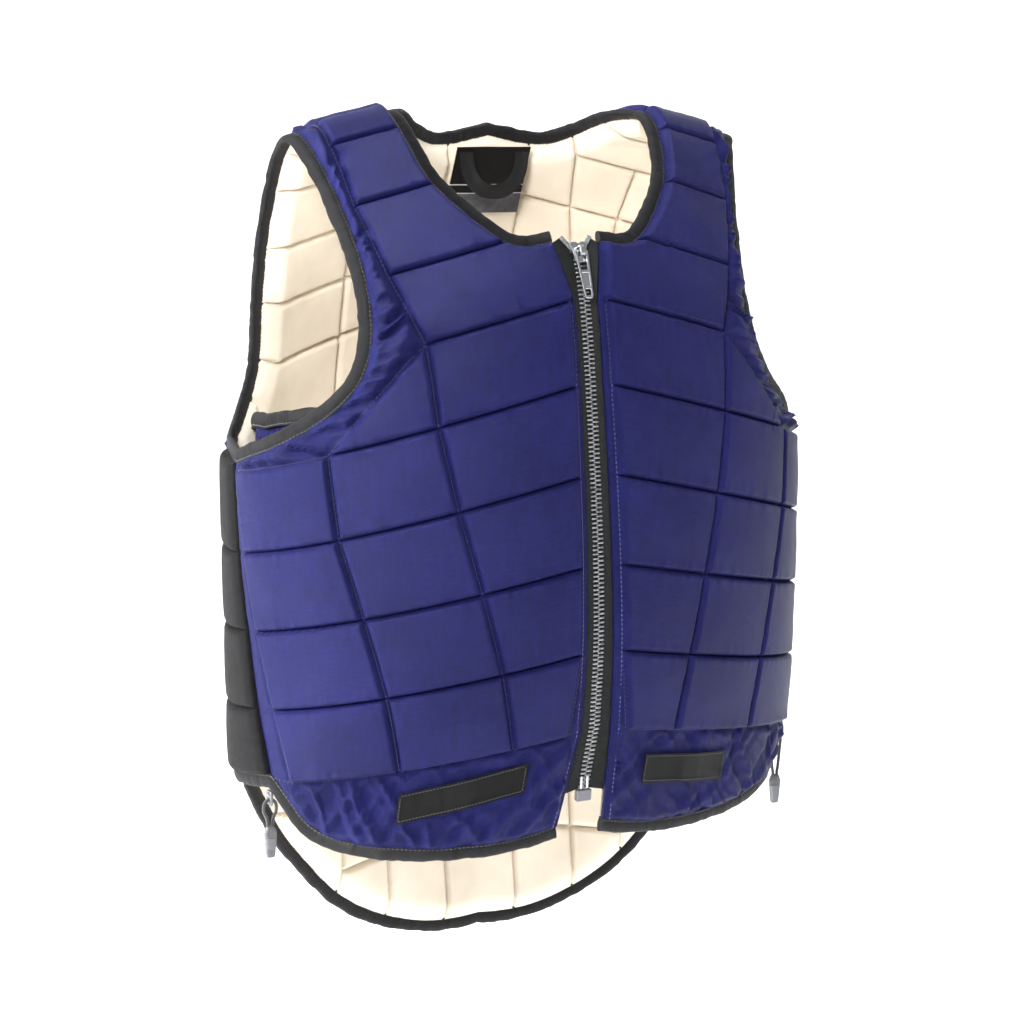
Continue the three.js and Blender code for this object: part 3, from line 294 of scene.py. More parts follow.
def wave(run, scale, seed=0):
    place = np.asarray(run) / scale + 37.7 * np.asarray(seed)
    first = np.floor(place)
    part = place - first
    part = part * part * (3 - 2 * part)
    low = NOISE_TABLE[first.astype(int) % len(NOISE_TABLE)]
    high = NOISE_TABLE[(first.astype(int) + 1) % len(NOISE_TABLE)]
    return low + (high - low) * part


def smooth_step(value, low, high):
    t = np.clip((value - low) / (high - low), 0, 1)
    return t * t * (3 - 2 * t)


# Nets of cells, as in the CAD source.
class Net:
    def __init__(self, turn):
        self.turn = turn
        self.corners = {}
        self.chains = []
        self.edges = {}
        self.cells = []

    def corner(self, name, angle, level):
        self.corners[name] = np.array([self.turn(angle), float(level)])

    def chain(self, names):
        self.chains.append(list(names))

    def edge(self, start, end, spacing):
        """Points (angle, level) from one corner to the next, both included."""
        low, high = sorted([start, end])
        if (low, high) not in self.edges:
            a, b = self.corners[low], self.corners[high]
            chain = next((c for c in self.chains if low in c and high in c
                          and abs(c.index(low) - c.index(high)) == 1), None)
            length = np.linalg.norm(body_point(*a) - body_point(*b))
            t = np.linspace(0, 1, max(2, math.ceil(length / spacing)) + 1)[:, None]
            if chain:
                first = min(chain.index(low), chain.index(high))
                p = [self.corners[chain[min(max(first + k, 0), len(chain) - 1)]] for k in (-1, 0, 1, 2)]
                line = spline(*p, t)
                self.edges[low, high] = line if chain[first] == low else line[::-1]
            else:
                self.edges[low, high] = a + (b - a) * t
        line = self.edges[low, high]
        return line if start == low else line[::-1]

    def cell(self, names, kind):
        self.cells.append((list(names), kind))

    def line(self, names, spacing):
        """Dense points along several corners in turn."""
        parts = [self.edge(a, b, spacing)[:-1] for a, b in zip(names, names[1:])]
        return np.concatenate(parts + [self.corners[names[-1]][None]])


UPRIGHT_RISE = 0.35  # levels between the ends of a seam that counts as upright


def upright(net, edge):
    return abs(net.corners[edge[0]][1] - net.corners[edge[1]][1]) > UPRIGHT_RISE


def near_ridge(level):
    return min(level, RIDGE_LEVEL - RIDGE_GAP)


def front_net(side):
    net = Net(lambda angle: side * angle)
    for name, angle, level in FRONT_EDGE:
        net.corner(name, angle, near_ridge(level))
    for row, zip_edge, start, inner, outer, end in FRONT_SEAMS:
        places = zip(("zip", "start", "inner", "outer", "end"), (zip_edge, start, inner, outer, end))
        for word, angle in places:
            net.corner(f"{word}{row}", angle, row)
    for row, neck, arm in STRAP_SEAMS:
        net.corner(f"neck{row}", neck, near_ridge(row))
        net.corner(f"inner{row}", arm, near_ridge(row))
    net.corner("start6", FRONT_SEAMS[-1][2], 6)
    net.corner("tip", *TAPER_TIP)
    net.corner("neck_corner", *NECK_CORNER)
    net.chain(HEM_IDS)
    net.chain(ids_of(FRONT_EDGE, "arm"))
    net.chain(NECK_IDS)
    net.cell(["hem_zip", "hem_inner", "inner1", "start1"], "loose")
    net.cell(["hem_zip", "start1", "zip1"], "flat")
    net.cell(["hem_inner", "hem_outer", "outer1", "inner1"], "loose")
    net.cell(["hem_outer", "hem_side", "end1", "outer1"], "loose")
    net.cell(["hem_side", "side1", "end1"], "loose")
    for row in range(1, 5):
        above = row + 1
        net.cell([f"zip{row}", f"start{row}", f"start{above}", f"zip{above}"], "flat")
        net.cell([f"start{row}", f"inner{row}", f"inner{above}", f"start{above}"], "block")
        net.cell([f"inner{row}", f"outer{row}", f"outer{above}", f"inner{above}"], "block")
        net.cell([f"outer{row}", f"end{row}", f"end{above}", f"outer{above}"], "block")
        net.cell([f"end{row}", f"side{row}", f"side{above}", f"end{above}"], "flat")
    net.cell(["zip5", "start5", "start6", "neck6"], "flat")
    net.cell(["start5", "inner5", "inner6", "start6"], "block")
    net.cell(["inner5", "outer5", "tip", "inner6"], "block")
    net.cell(["neck6", "start6", "inner6", "inner7", "neck7", "neck_corner"], "block")
    for row in range(7, RIDGE_LEVEL):
        above = row + 1
        net.cell([f"neck{row}", f"inner{row}", f"inner{above}", f"neck{above}"], "block")
        net.cell([f"inner{row}", f"arm{row}", f"arm{above}", f"inner{above}"], "gather")
    net.cell(["inner6", "tip", "arm6", "arm7", "inner7"], "gather")
    net.cell(["tip", "outer5", "arm_turn", "arm_bend", "arm6"], "gather")
    net.cell(["outer5", "end5", "arm_side", "arm_low", "arm_turn"], "gather")
    net.cell(["end5", "side5", "arm_side"], "flat")
    net.joins = [(f"zip{row}", f"start{row}") for row in range(1, 6)] + [("start6", "neck6")]
    net.joins += [(f"end{row}", f"side{row}") for row in range(2, 6)]
    net.joins += [(f"inner{row}", f"arm{row}") for row in range(7, 10)]
    net.joins += [("hem_inner", "inner1"), ("hem_outer", "outer1"), ("hem_side", "end1")]
    net.joins += [("hem_zip", "start1"), ("tip", "arm6"), ("outer5", "arm_turn"), ("end5", "arm_side")]
    return net


def back_net():
    net = Net(lambda angle: angle)

    def both(name, angle, level):
        net.corner(f"l_{name}", angle, level)
        net.corner(f"r_{name}", FULL_TURN - angle, level)

    for name, angle, level in BACK_EDGE + BACK_NECK + BACK_STRAP:
        both(name, angle, level)
    for row, level, centre, inner, outer, arm, side in BACK_SEAMS:
        both(f"centre_{row}", centre, level)
        both(f"inner_{row}", inner, level)
        both(f"outer_{row}", outer, level)
        if arm:
            both(f"block_{row}", arm, level)
        if side:
            both(f"end_{row}", side, level)
    net.chain(over_back(TAIL_IDS))
    net.chain(over_back(BACK_NECK_IDS[::-1]))
    for half in ("l_", "r_"):
        net.chain([half + name for name in ids_of(BACK_EDGE, "arm")])
    rows = [row[0] for row in BACK_SEAMS]
    for a, b in zip(rows, rows[1:]):
        net.cell([f"r_centre_{a}", f"l_centre_{a}", f"l_centre_{b}", f"r_centre_{b}"], "block")
    net.cell(["r_centre_8", "l_centre_8", "l_neck_centre", "r_neck_centre"], "block")
    net.cell(["r_centre_tail", "l_centre_tail", "l_tail_centre", "r_tail_centre"], "block")
    net.joins, net.lining_joins = [], []
    for half in ("l_", "r_"):
        def cell(words, kind):
            net.cell([half + word for word in words.split()], kind)

        for a, b in zip(rows, rows[1:]):
            cell(f"centre_{a} inner_{a} inner_{b} centre_{b}", "block")
            cell(f"inner_{a} outer_{a} outer_{b} inner_{b}", "block")
            if a != "tail" and a >= 1:
                cell(f"outer_{a} block_{a} block_{b} outer_{b}", "block")
            if a != "tail" and a >= 2 and b <= 5:
                cell(f"block_{a} end_{a} end_{b} block_{b}", "block")
                cell(f"end_{a} side{a} side{b} end_{b}", "flat")
        cell("centre_tail inner_tail tail_inner tail_centre", "block")
        cell("inner_tail outer_tail tail_outer tail_inner", "block")
        cell("outer_tail outer_0 tail_arm tail_side tail_outer", "block")
        cell("outer_0 outer_1 block_1 tail_arm", "block")
        cell("block_1 block_2 end_2 side2 side1 tail_end tail_arm", "loose")
        cell("block_5 end_5 arm_side arm_low arm_turn", "gather")
        cell("end_5 side5 arm_side", "flat")
        cell("block_5 arm_turn arm6 block_6", "gather")
        cell("block_6 arm6 arm7 block_7", "gather")
        cell("block_7 arm7 arm8 block_8", "gather")
        cell("centre_8 inner_8 strap_inner neck_inner neck_centre", "block")
        cell("inner_8 outer_8 strap_outer strap_inner", "block")
        cell("outer_8 block_8 strap_arm strap_outer", "block")
        cell("block_8 arm8 arm_strap strap_arm", "gather")
        cell("strap_inner strap_outer strap_arm strap9 neck9 neck_inner", "block")
        cell("strap_arm arm_strap arm9 strap9", "gather")
        cell("neck9 strap9 strap10 neck10", "block")
        cell("strap9 arm9 arm10 strap10", "gather")
        pairs = [(f"end_{row}", f"side{row}") for row in range(2, 6)]
        pairs += [("block_5", "arm_turn"), ("block_6", "arm6"), ("block_7", "arm7"), ("block_8", "arm8")]
        pairs += [("strap_arm", "arm_strap"), ("strap9", "arm9"), ("end_5", "arm_side")]
        net.joins += [(half + a, half + b) for a, b in pairs]
        path = ["block_5", "block_6", "block_7", "block_8", "strap_arm", "strap9", "strap10"]
        pairs = list(zip(path, path[1:])) + pairs[:4]
        net.lining_joins += [(half + a, half + b) for a, b in pairs]
    return net


BAND_GAP = 0.35  # degrees left clear at each edge of a side band


def side_net(side):
    net = Net(lambda angle: side * angle)
    fronts = {name: (angle, level) for name, angle, level in FRONT_EDGE}
    backs = {name: (angle, level) for name, angle, level in BACK_EDGE}
    for row in range(1, 6):
        angle, level = fronts[f"side{row}"]
        net.corner(f"f{row}", angle + BAND_GAP, level)
        angle, level = backs[f"side{row}"]
        net.corner(f"b{row}", angle - BAND_GAP, level)
    for row in range(1, 5):
        net.cell([f"f{row}", f"b{row}", f"b{row + 1}", f"f{row + 1}"], "block")
    net.joins = []
    return net


# Flattened coordinates in which the meshes are laid out.
DEGREE = 3.3 * MM
LEVEL = 55 * MM
FLAT = np.array([DEGREE, LEVEL])


def inside(points, loop):
    """Which flat points lie within a closed loop of flat points."""
    result = np.zeros(len(points), bool)
    x, y = points[:, 0], points[:, 1]
    for (x0, y0), (x1, y1) in zip(loop, np.roll(loop, -1, axis=0)):
        if y0 == y1:
            continue
        crosses = (y0 > y) != (y1 > y)
        result ^= crosses & (x < (x1 - x0) * (y - y0) / (y1 - y0) + x0)
    return result


def owners(points, loops):
    """The number of the loop that holds each flat point, or -1."""
    result = np.full(len(points), -1)
    for i, loop in enumerate(loops):
        near = np.flatnonzero(np.all((points > loop.min(axis=0)) & (points < loop.max(axis=0)), axis=1))
        result[near[inside(points[near], loop)]] = i
    return result


def tree_of(points):
    tree = KDTree(len(points))
    for i, point in enumerate(points):
        tree.insert(point, i)
    tree.balance()
    return tree


SEAM_REACH = 6.5 * MM  # width of the finer mesh along the seams
SEAM_CLEAR = 0.6  # share of the spacing that the grid keeps clear of the seams
ON_SEAM = 0.3 * MM  # a point nearer than this lies on its seam
CUT_TOLERANCE = 1e-9
FOLD_ANGLE = 55  # degrees from which an edge is drawn sharp


def sides_of(names):
    """Pairs of neighbouring corners round a closed loop of names."""
    return list(zip(names, names[1:] + names[:1]))


def edge_key(a, b):
    return tuple(sorted([a, b]))


class Cloth:
    """Triangles over every cell of a net, with each point's distance to the seams and the outline."""

    def __init__(self, net, spacing, joins=None):
        self.net = net
        loops = [np.concatenate([net.edge(a, b, spacing)[:-1] for a, b in sides_of(names)])
                 for names, _ in net.cells]
        keys, places, pairs, self.count = {}, [], set(), {}
        for names, _ in net.cells:
            for edge in (edge_key(a, b) for a, b in sides_of(names)):
                self.count[edge] = self.count.get(edge, 0) + 1
                line = net.edge(*edge, spacing)
                ids = []
                for k, place in enumerate(line):
                    key = edge[0] if k == 0 else edge[1] if k == len(line) - 1 else (edge, k)
                    if key not in keys:
                        keys[key] = len(places)
                        places.append(place)
                    ids.append(keys[key])
                pairs.update(tuple(sorted(pair)) for pair in zip(ids, ids[1:]))
        border = np.array(places)
        flat_border = border * FLAT
        low, high = flat_border.min(axis=0), flat_border.max(axis=0)
        flat_loops = [loop * FLAT for loop in loops]
        tree = tree_of([(x, y, 0) for x, y in flat_border])
        grids = []
        rumpled = np.array([kind in ("gather", "loose") for _, kind in net.cells])
        for step, fine in ((spacing, True), (spacing * 2, False)):
            xs = np.arange(low[0], high[0], step)
            ys = np.arange(low[1], high[1], step * math.sqrt(3) / 2)
            grid = np.array([[x + (k % 2) * step / 2, y] for k, y in enumerate(ys) for x in xs])
            owner = owners(grid, flat_loops)
            grid, owner = grid[owner >= 0], owner[owner >= 0]
            gaps = np.array([tree.find((x, y, 0))[2] for x, y in grid])
            near = (gaps <= SEAM_REACH) | rumpled[owner]
            grids.append(grid[(gaps > SEAM_CLEAR * spacing) & (near == fine)])
        grid = np.concatenate(grids)
        flat = np.concatenate([flat_border, grid])
        found = delaunay_2d_cdt([Vector(p) for p in flat], [list(p) for p in pairs], [], 0, CUT_TOLERANCE)
        flat = np.array([tuple(p) for p in found[0]])
        faces = np.array([f for f in found[2] if len(f) == 3])
        middles = flat[faces].mean(axis=1)
        face_cell = owners(middles, flat_loops)
        faces, face_cell = faces[face_cell >= 0], face_cell[face_cell >= 0]
        used, index = np.unique(faces, return_inverse=True)
        self.faces = index.reshape(-1, 3)
        places = flat[used] / FLAT
        self.angle, self.level = places[:, 0], places[:, 1]
        self.base = body_point(self.angle, self.level)
        self.normal = body_normal(self.angle, self.level)
        cell_of = np.zeros(len(places), int)
        cell_of[self.faces.ravel()] = np.repeat(face_cell, 3)
        self.point_kind = np.array([kind for _, kind in net.cells])[cell_of]
        every = set(self.count)
        folds = every - {edge_key(*pair) for pair in (net.joins if joins is None else joins)}
        tall = {edge for edge in folds if upright(net, edge)}
        self.seam_gap, _, _ = self.nearest(every)
        self.edge_gap, _, _ = self.nearest({edge for edge, uses in self.count.items() if uses == 1})
        self.tall_gap, self.tall_run, self.tall_id = self.nearest(tall)
        self.wide_gap, self.wide_run, self.wide_id = self.nearest(folds - tall)
        self.fold_gap = np.minimum(self.tall_gap, self.wide_gap)
        net.edges.clear()

    def nearest(self, wanted):
        """Distance, run along the line and line number of the nearest wanted seam, for every point."""
        points, runs, ids = [], [], []
        for number, edge in enumerate(self.count):
            if edge not in wanted:
                continue
            line = body_point(*self.net.edge(*edge, 1.0 * MM).T)
            dense = []
            for a, b in zip(line, line[1:]):
                steps = max(1, math.ceil(np.linalg.norm(b - a) / MM))
                dense += [a + (b - a) * k / steps for k in range(steps)]
            dense = np.array(dense + [line[-1]])
            points.append(dense)
            runs.append(line_run(dense))
            ids.append(np.full(len(dense), number))
        points, runs, ids = np.concatenate(points), np.concatenate(runs), np.concatenate(ids)
        tree = tree_of(points)
        found = [tree.find(p) for p in self.base]
        index = np.array([f[1] for f in found])
        gap = np.array([f[2] for f in found])
        return np.where(gap < ON_SEAM, 0, gap), runs[index], ids[index]


def mesh_object(name, points, faces, material, smooth=True, coordinates=None):
    mesh = bpy.data.meshes.new(name)
    mesh.from_pydata([tuple(p) for p in points], [], [tuple(int(i) for i in f) for f in faces])
    mesh.update()
    if smooth:
        mesh.polygons.foreach_set("use_smooth", [True] * len(mesh.polygons))
        mesh.set_sharp_from_angle(angle=math.radians(FOLD_ANGLE))
    if coordinates is not None:
        layer = mesh.attributes.new("cloth", "FLOAT_VECTOR", "POINT")
        layer.data.foreach_set("vector", np.asarray(coordinates, float).ravel())
    mesh.materials.append(material)
    piece = bpy.data.objects.new(name, mesh)
    bpy.context.scene.collection.objects.link(piece)
    return piece


def place(piece, body, slot, *nodes):
    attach(piece, body)
    if nodes:
        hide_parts(*nodes)
    return piece


# Materials.
def linear(code):
    values = [int(code[i:i + 2], 16) / 255 for i in (0, 2, 4)]
    return tuple(v / 12.92 if v <= 0.04045 else ((v + 0.055) / 1.055) ** 2.4 for v in values) + (1.0,)


class Shader:
    """A material with a Principled shader and small helpers for its nodes."""

    def __init__(self, name, **sockets):
        self.material = bpy.data.materials.new(name)
        self.material.use_nodes = True
        self.nodes = self.material.node_tree.nodes
        self.links = self.material.node_tree.links
        self.main = self.nodes["Principled BSDF"]
        for key, value in sockets.items():
            self.main.inputs[key.replace("_", " ")].default_value = value

    def add(self, kind, links=(), **settings):
        node = self.nodes.new(kind)
        for key, value in settings.items():
            if hasattr(node, key):
                setattr(node, key, value)
            else:
                node.inputs[key.replace("_", " ")].default_value = value
        for socket, source in links:
            self.links.new(source, node.inputs[socket])
        return node

    def mapped(self, scale, on_cloth=True):
        if on_cloth:
            source = self.add("ShaderNodeAttribute", attribute_name="cloth").outputs["Vector"]
        else:
            source = self.add("ShaderNodeTexCoord").outputs["Object"]
        node = self.add("ShaderNodeMapping", [("Vector", source)])
        node.inputs["Scale"].default_value = scale if isinstance(scale, tuple) else (scale,) * 3
        return node.outputs["Vector"]

    def noise(self, scale, detail=3.0, roughness=0.5, on_cloth=True):
        return self.add("ShaderNodeTexNoise", [("Vector", self.mapped(scale, on_cloth))],
                        Scale=1.0, Detail=detail, Roughness=roughness).outputs["Fac"]

    def ribs(self, scale, direction, distortion=0.0):
        return self.add("ShaderNodeTexWave", [("Vector", self.mapped(scale))], Scale=1.0,
                        bands_direction=direction, Distortion=distortion).outputs["Fac"]

    def math(self, operation, *values):
        node = self.add("ShaderNodeMath", operation=operation)
        for i, value in enumerate(values):
            if isinstance(value, (int, float)):
                node.inputs[i].default_value = value
            else:
                self.links.new(value, node.inputs[i])
        return node.outputs[0]

    def ramp(self, factor, stops):
        node = self.add("ShaderNodeValToRGB", [("Fac", factor)])
        elements = node.color_ramp.elements
        while len(elements) < len(stops):
            elements.new(0.5)
        for element, (position, color) in zip(elements, stops):
            element.position = position
            element.color = color
        return node.outputs["Color"]

    def blend(self, factor, low, high, stops=(0.3, 0.7)):
        """Base colour between two, low and high, along a factor."""
        self.links.new(self.ramp(factor, list(zip(stops, (low, high)))), self.main.inputs["Base Color"])

    def weave(self, warp, weft):
        """Two sets of fine ribs, crossed."""
        return self.math("ADD", self.ribs((warp, warp, 1), "X"), self.ribs((weft, weft, 1), "Y"))

    def roughness(self, factor, low, high):
        node = self.add("ShaderNodeMapRange", [("Value", factor)])
        node.inputs["To Min"].default_value = low
        node.inputs["To Max"].default_value = high
        self.links.new(node.outputs["Result"], self.main.inputs["Roughness"])

    def bump(self, height, distance, strength=1.0, under=None):
        node = self.add("ShaderNodeBump", [("Height", height)], Strength=strength, Distance=distance)
        if under is not None:
            self.links.new(under, node.inputs["Normal"])
        self.links.new(node.outputs["Normal"], self.main.inputs["Normal"])
        return node.outputs["Normal"]


def tone(code, gain):
    """A colour made lighter or darker."""
    r, g, b, _ = linear(code)
    return (r * gain, g * gain, b * gain, 1.0)


def satin():
    shader = Shader("navy_satin", Roughness=0.34, Sheen_Weight=0.03, Sheen_Roughness=0.35,
                    Specular_IOR_Level=0.24)
    shader.main.inputs["Sheen Tint"].default_value = linear("8486c4")
    shader.main.inputs["Specular Tint"].default_value = linear("b4b8f0")
    weave = shader.weave(2400, 3000)
    slub = shader.noise((260, 60, 1), 4.0, 0.6)
    rows = shader.noise((70, 1500, 1), 3.0, 0.6)
    patch = shader.noise(14, 2.0, 0.5)
    woven = shader.math("ADD", shader.math("MULTIPLY", slub, 0.3), shader.math("MULTIPLY", rows, 0.4))
    mixed = shader.math("ADD", woven, shader.math("MULTIPLY", patch, 0.3))
    shader.blend(mixed, tone("141544", 0.66), tone("1b1c52", 1.15), (0.36, 0.64))
    shader.roughness(slub, 0.3, 0.42)
    fine = shader.bump(weave, 0.00006)
    lined = shader.bump(rows, 0.0002, 0.7, fine)
    shader.bump(slub, 0.00025, 0.6, lined)
    return shader.material


def lining_cloth():
    shader = Shader("cream_lining", Roughness=0.62, Sheen_Weight=0.15, Specular_IOR_Level=0.35)
    patch = shader.noise(18, 3.0, 0.55)
    shader.blend(patch, tone("ddd2c0", 0.92), tone("e8decd", 1.0))
    grain = shader.noise(1500, 2.0, 0.5)
    shader.bump(grain, 0.00008)
    return shader.material


def black_tape():
    shader = Shader("black_tape", Roughness=0.42, Sheen_Weight=0.02, Specular_IOR_Level=0.25)
    shader.main.inputs["Sheen Tint"].default_value = linear("9a9aa2")
    ribs = shader.ribs((2600, 900, 1), "X", distortion=0.6)
    mottle = shader.noise(160, 4.0, 0.6)
    shader.blend(mottle, tone("0e0e10", 0.9), tone("1b1b1e", 1.1))
    shader.roughness(mottle, 0.42, 0.66)
    fine = shader.bump(ribs, 0.00012)
    shader.bump(mottle, 0.0003, 0.5, fine)
    return shader.material


def band_cloth():
    shader = Shader("side_cloth", Roughness=0.6, Sheen_Weight=0.02, Specular_IOR_Level=0.14)
    weave = shader.weave(1500, 1500)
    mottle = shader.noise(120, 4.0, 0.6)
    shader.blend(mottle, tone("0f0f11", 0.9), tone("1b1b1e", 1.1))
    shader.bump(weave, 0.0002)
    return shader.material


def zip_cloth():
    shader = Shader("zip_tape_cloth", Roughness=0.8, Sheen_Weight=0.05, Specular_IOR_Level=0.2)
    weave = shader.ribs((1700, 1700, 1), "DIAGONAL")
    mottle = shader.noise(300, 3.0, 0.6)
    shader.blend(mottle, tone("0f1211", 0.9), tone("1c201f", 1.1))
    shader.bump(weave, 0.0002)
    return shader.material


def thread(name, code):
    shader = Shader(name, Roughness=0.5, Sheen_Weight=0.3)
    twist = shader.noise(3000, 2.0, 0.5, False)
    shader.blend(twist, tone(code, 0.85), tone(code, 1.15))
    shader.bump(twist, 0.0001)
    return shader.material


def metal(name, code, low=0.22, high=0.42, scale=900.0):
    shader = Shader(name, Metallic=1.0)
    grain = shader.noise(scale, 4.0, 0.6, False)
    shader.blend(grain, tone(code, 0.85), tone(code, 1.1))
    shader.roughness(grain, low, high)
    shader.bump(grain, 0.00004)
    return shader.material


def coil_plastic():
    shader = Shader("zip_coil", Roughness=0.3, Specular_IOR_Level=0.6)
    grain = shader.noise(600, 3.0, 0.6, False)
    shader.blend(grain, tone("4a4b4d", 0.8), tone("a2a3a6", 1.0))
    shader.roughness(grain, 0.22, 0.4)
    return shader.material


def label_cloth(name, low, high, gloss):
    shader = Shader(name, Roughness=gloss, Specular_IOR_Level=0.14)
    weave = shader.weave(2200, 2800)
    mottle = shader.noise(200, 3.0, 0.6)
    shader.blend(mottle, linear(low), linear(high))
    shader.bump(weave, 0.0001)
    return shader.material


def braid():
    shader = Shader("braided_cord", Roughness=0.6, Sheen_Weight=0.3)
    strands = shader.math("MULTIPLY", *(shader.ribs((700, lean, 1), "DIAGONAL") for lean in (220, -220)))
    shader.blend(strands, tone("1c1c1e", 0.9), tone("3b3b3f", 1.1), (0.1, 0.6))
    shader.bump(strands, 0.0003)
    return shader.material


def moulded():
    shader = Shader("cord_end_plastic", Roughness=0.45)
    grain = shader.noise(700, 4.0, 0.6, False)
    shader.blend(grain, tone("4a4b4f", 0.9), tone("65666a", 1.05))
    shader.bump(grain, 0.0001)
    return shader.material


NAVY = satin()
CREAM = lining_cloth()
BLACK = black_tape()
BAND = band_cloth()
TAPE = zip_cloth()
NAVY_THREAD = thread("navy_thread", "15164a")
BLACK_THREAD = thread("black_thread", "3c3c40")
PALE_NAVY = thread("pale_navy_thread", "3c3e7c")
BRAID = braid()
GREY = metal("dull_metal", "77787c", 0.4, 0.6)
METAL = metal("cast_metal", "b4b6ba")
COIL = coil_plastic()
LABEL = label_cloth("label_satin", "060607", "0e0e10", 0.3)
LABEL_GREY = label_cloth("label_grey", "55565c", "6a6b72", 0.5)
LABEL_WHITE = label_cloth("label_white", "d8d8da", "ececee", 0.5)
PLASTIC = moulded()

# Walls, measured outward from the outer cloth at a seam.
SEAM_DEPTH = 6 * MM
EDGE_DEPTH = 2 * MM
LINING_SEAM = 3 * MM
LINING_EDGE = 2 * MM
BLOCK_RISE = 7 * MM
LINING_RISE = 5 * MM
GATHER_RISE = 6.2 * MM
CLEARANCE = 0.3 * MM
TALL_RIM = 3.2 * MM  # width of a block's rounded rim along an upright seam
WIDE_RIM = 3.4 * MM  # and along a level one
STRIP = 0.9 * MM  # half the width of the sunk strip at an upright seam
SEAM_FLOOR = 2.2 * MM  # how far the seams between blocks stand above the seams of the outline
SLACK_RISE = 3.2 * MM
ARM_CENTRE = (72, 7.4)  # angle and level from which the folds round an armhole radiate
BACK_ARM_CENTRE = 104
FOLD_RADIUS = 62 * MM


def block_profile(gap, rim, rise):
    t = np.clip(gap / rim, 0, 1)
    return rise * (1 - (1 - t) ** 2.4) ** 0.72


def ridges(run, scale, seed):
    """Sharp-backed folds: 1 on a ridge and about -0.6 between."""
    return 1 - 2.1 * np.abs(wave(run, scale, seed))


def arm_folds(cloth):
    """Folds that radiate from the armhole."""
    angle = np.where(cloth.angle > FULL_TURN / 2, FULL_TURN - cloth.angle, np.abs(cloth.angle))
    middle = np.where(angle > 95, BACK_ARM_CENTRE, ARM_CENTRE[0])
    across, up = (angle - middle) * DEGREE, (cloth.level - ARM_CENTRE[1]) * LEVEL
    reach = np.hypot(across, up)
    run = FOLD_RADIUS * np.arctan2(up, across) + 0.35 * reach
    twist = 3 * MM * wave(reach, 13 * MM, 15)
    fine = 0.3 * wave(run, 2.7 * MM, 9) + 0.35 * wave(reach, 9 * MM, 5)
    return 0.62 * ridges(run + twist, 5.4 * MM, 3) + fine


def hem_folds(cloth):
    run = cloth.angle * DEGREE + 0.7 * cloth.level * LEVEL
    other = cloth.angle * DEGREE - 1.1 * cloth.level * LEVEL
    run = run + 4 * MM * wave(other, 17 * MM, 31)
    return 0.6 * ridges(run, 12 * MM, 6) + 0.45 * wave(other, 8 * MM, 21) + 0.22 * wave(run, 4 * MM, 8)


HEM_LABELS = [
    # word, length, middle, level, tilt
    ("right", 84 * MM, -26.2, 0.64, 0.06),
    ("left", 75 * MM, 21.8, 0.6, 0.02),
]


def under_label(cloth):
    """1 where a hem label lies on the cloth, easing to 0 round it."""
    held = np.zeros(len(cloth.angle))
    for _, length, middle, level, _ in HEM_LABELS:
        beside = np.abs(cloth.angle - middle) * DEGREE - length / 2
        above = np.abs(cloth.level - level) * LEVEL - 11 * MM
        held = np.maximum(held, 1 - smooth_step(np.maximum(beside, above), -2 * MM, 6 * MM))
    return held


def outer_lift(cloth):
    """Height of the outer cloth over the body: blocks, gathers, slack cloth or flat strips."""
    pucker = wave(cloth.wide_run, 3.2 * MM, cloth.wide_id)
    pucker = pucker + 0.7 * wave(cloth.wide_run, 8 * MM, cloth.wide_id + 50)
    pucker = pucker * np.exp(-cloth.wide_gap / (4.5 * MM)) * smooth_step(cloth.wide_gap, 0, 2 * MM)
    tug = wave(cloth.tall_run, 5 * MM, cloth.tall_id) * np.exp(-cloth.tall_gap / (6 * MM))
    tug = tug * smooth_step(cloth.tall_gap, STRIP, STRIP + 2 * MM)
    drift = wave(cloth.base[:, 2] + 0.4 * cloth.base[:, 0], 31 * MM, 2)
    drift = drift * smooth_step(cloth.fold_gap, 0, 9 * MM)
    inward = smooth_step(cloth.edge_gap, 0, 5 * MM)
    ground = SEAM_FLOOR * inward
    tall = block_profile(np.maximum(cloth.tall_gap - STRIP, 0), TALL_RIM, BLOCK_RISE - SEAM_FLOOR)
    wide = block_profile(cloth.wide_gap, WIDE_RIM, BLOCK_RISE - SEAM_FLOOR)
    crown = 0.5 * MM * smooth_step(cloth.fold_gap, 3 * MM, 28 * MM)
    block = np.minimum(tall, wide) + crown + 0.55 * MM * pucker + 0.35 * MM * tug + 0.35 * MM * drift
    fold = smooth_step(cloth.fold_gap, -1 * MM, 4 * MM) * (0.45 + 0.55 * inward)
    calm = 0.45 + 0.55 * smooth_step(RIDGE_LEVEL - cloth.level, 0.2, 1.2)
    gather = GATHER_RISE * (0.4 + arm_folds(cloth)) * fold * calm
    gather = gather * smooth_step(cloth.fold_gap, -2 * MM, 7 * MM)
    slack = SLACK_RISE * (0.3 + hem_folds(cloth)) * fold * (1 - 0.75 * under_label(cloth))
    flat = 0.8 * MM * smooth_step(cloth.seam_gap, 0, 3 * MM) * (1 + 0.4 * wave(cloth.base[:, 2], 6 * MM, 4))
    kinds = cloth.point_kind
    lift = np.select([kinds == "block", kinds == "gather", kinds == "loose"], [block, gather, slack], flat)
    return ground + np.where(cloth.fold_gap == 0, 0, lift)


def cloth_coordinates(cloth):
    return np.stack([cloth.angle * DEGREE, cloth.level * LEVEL, np.zeros(len(cloth.angle))], axis=1)


def turned(points, cloth, sign):
    """The cloth's faces, turned along sign times its normal."""
    faces = cloth.faces
    a, b, c = (points[faces[:, k]] for k in range(3))
    facing = np.einsum("ij,ij->i", np.cross(b - a, c - a), cloth.normal[faces[:, 0]])
    return np.where((facing * sign < 0)[:, None], faces[:, ::-1], faces)


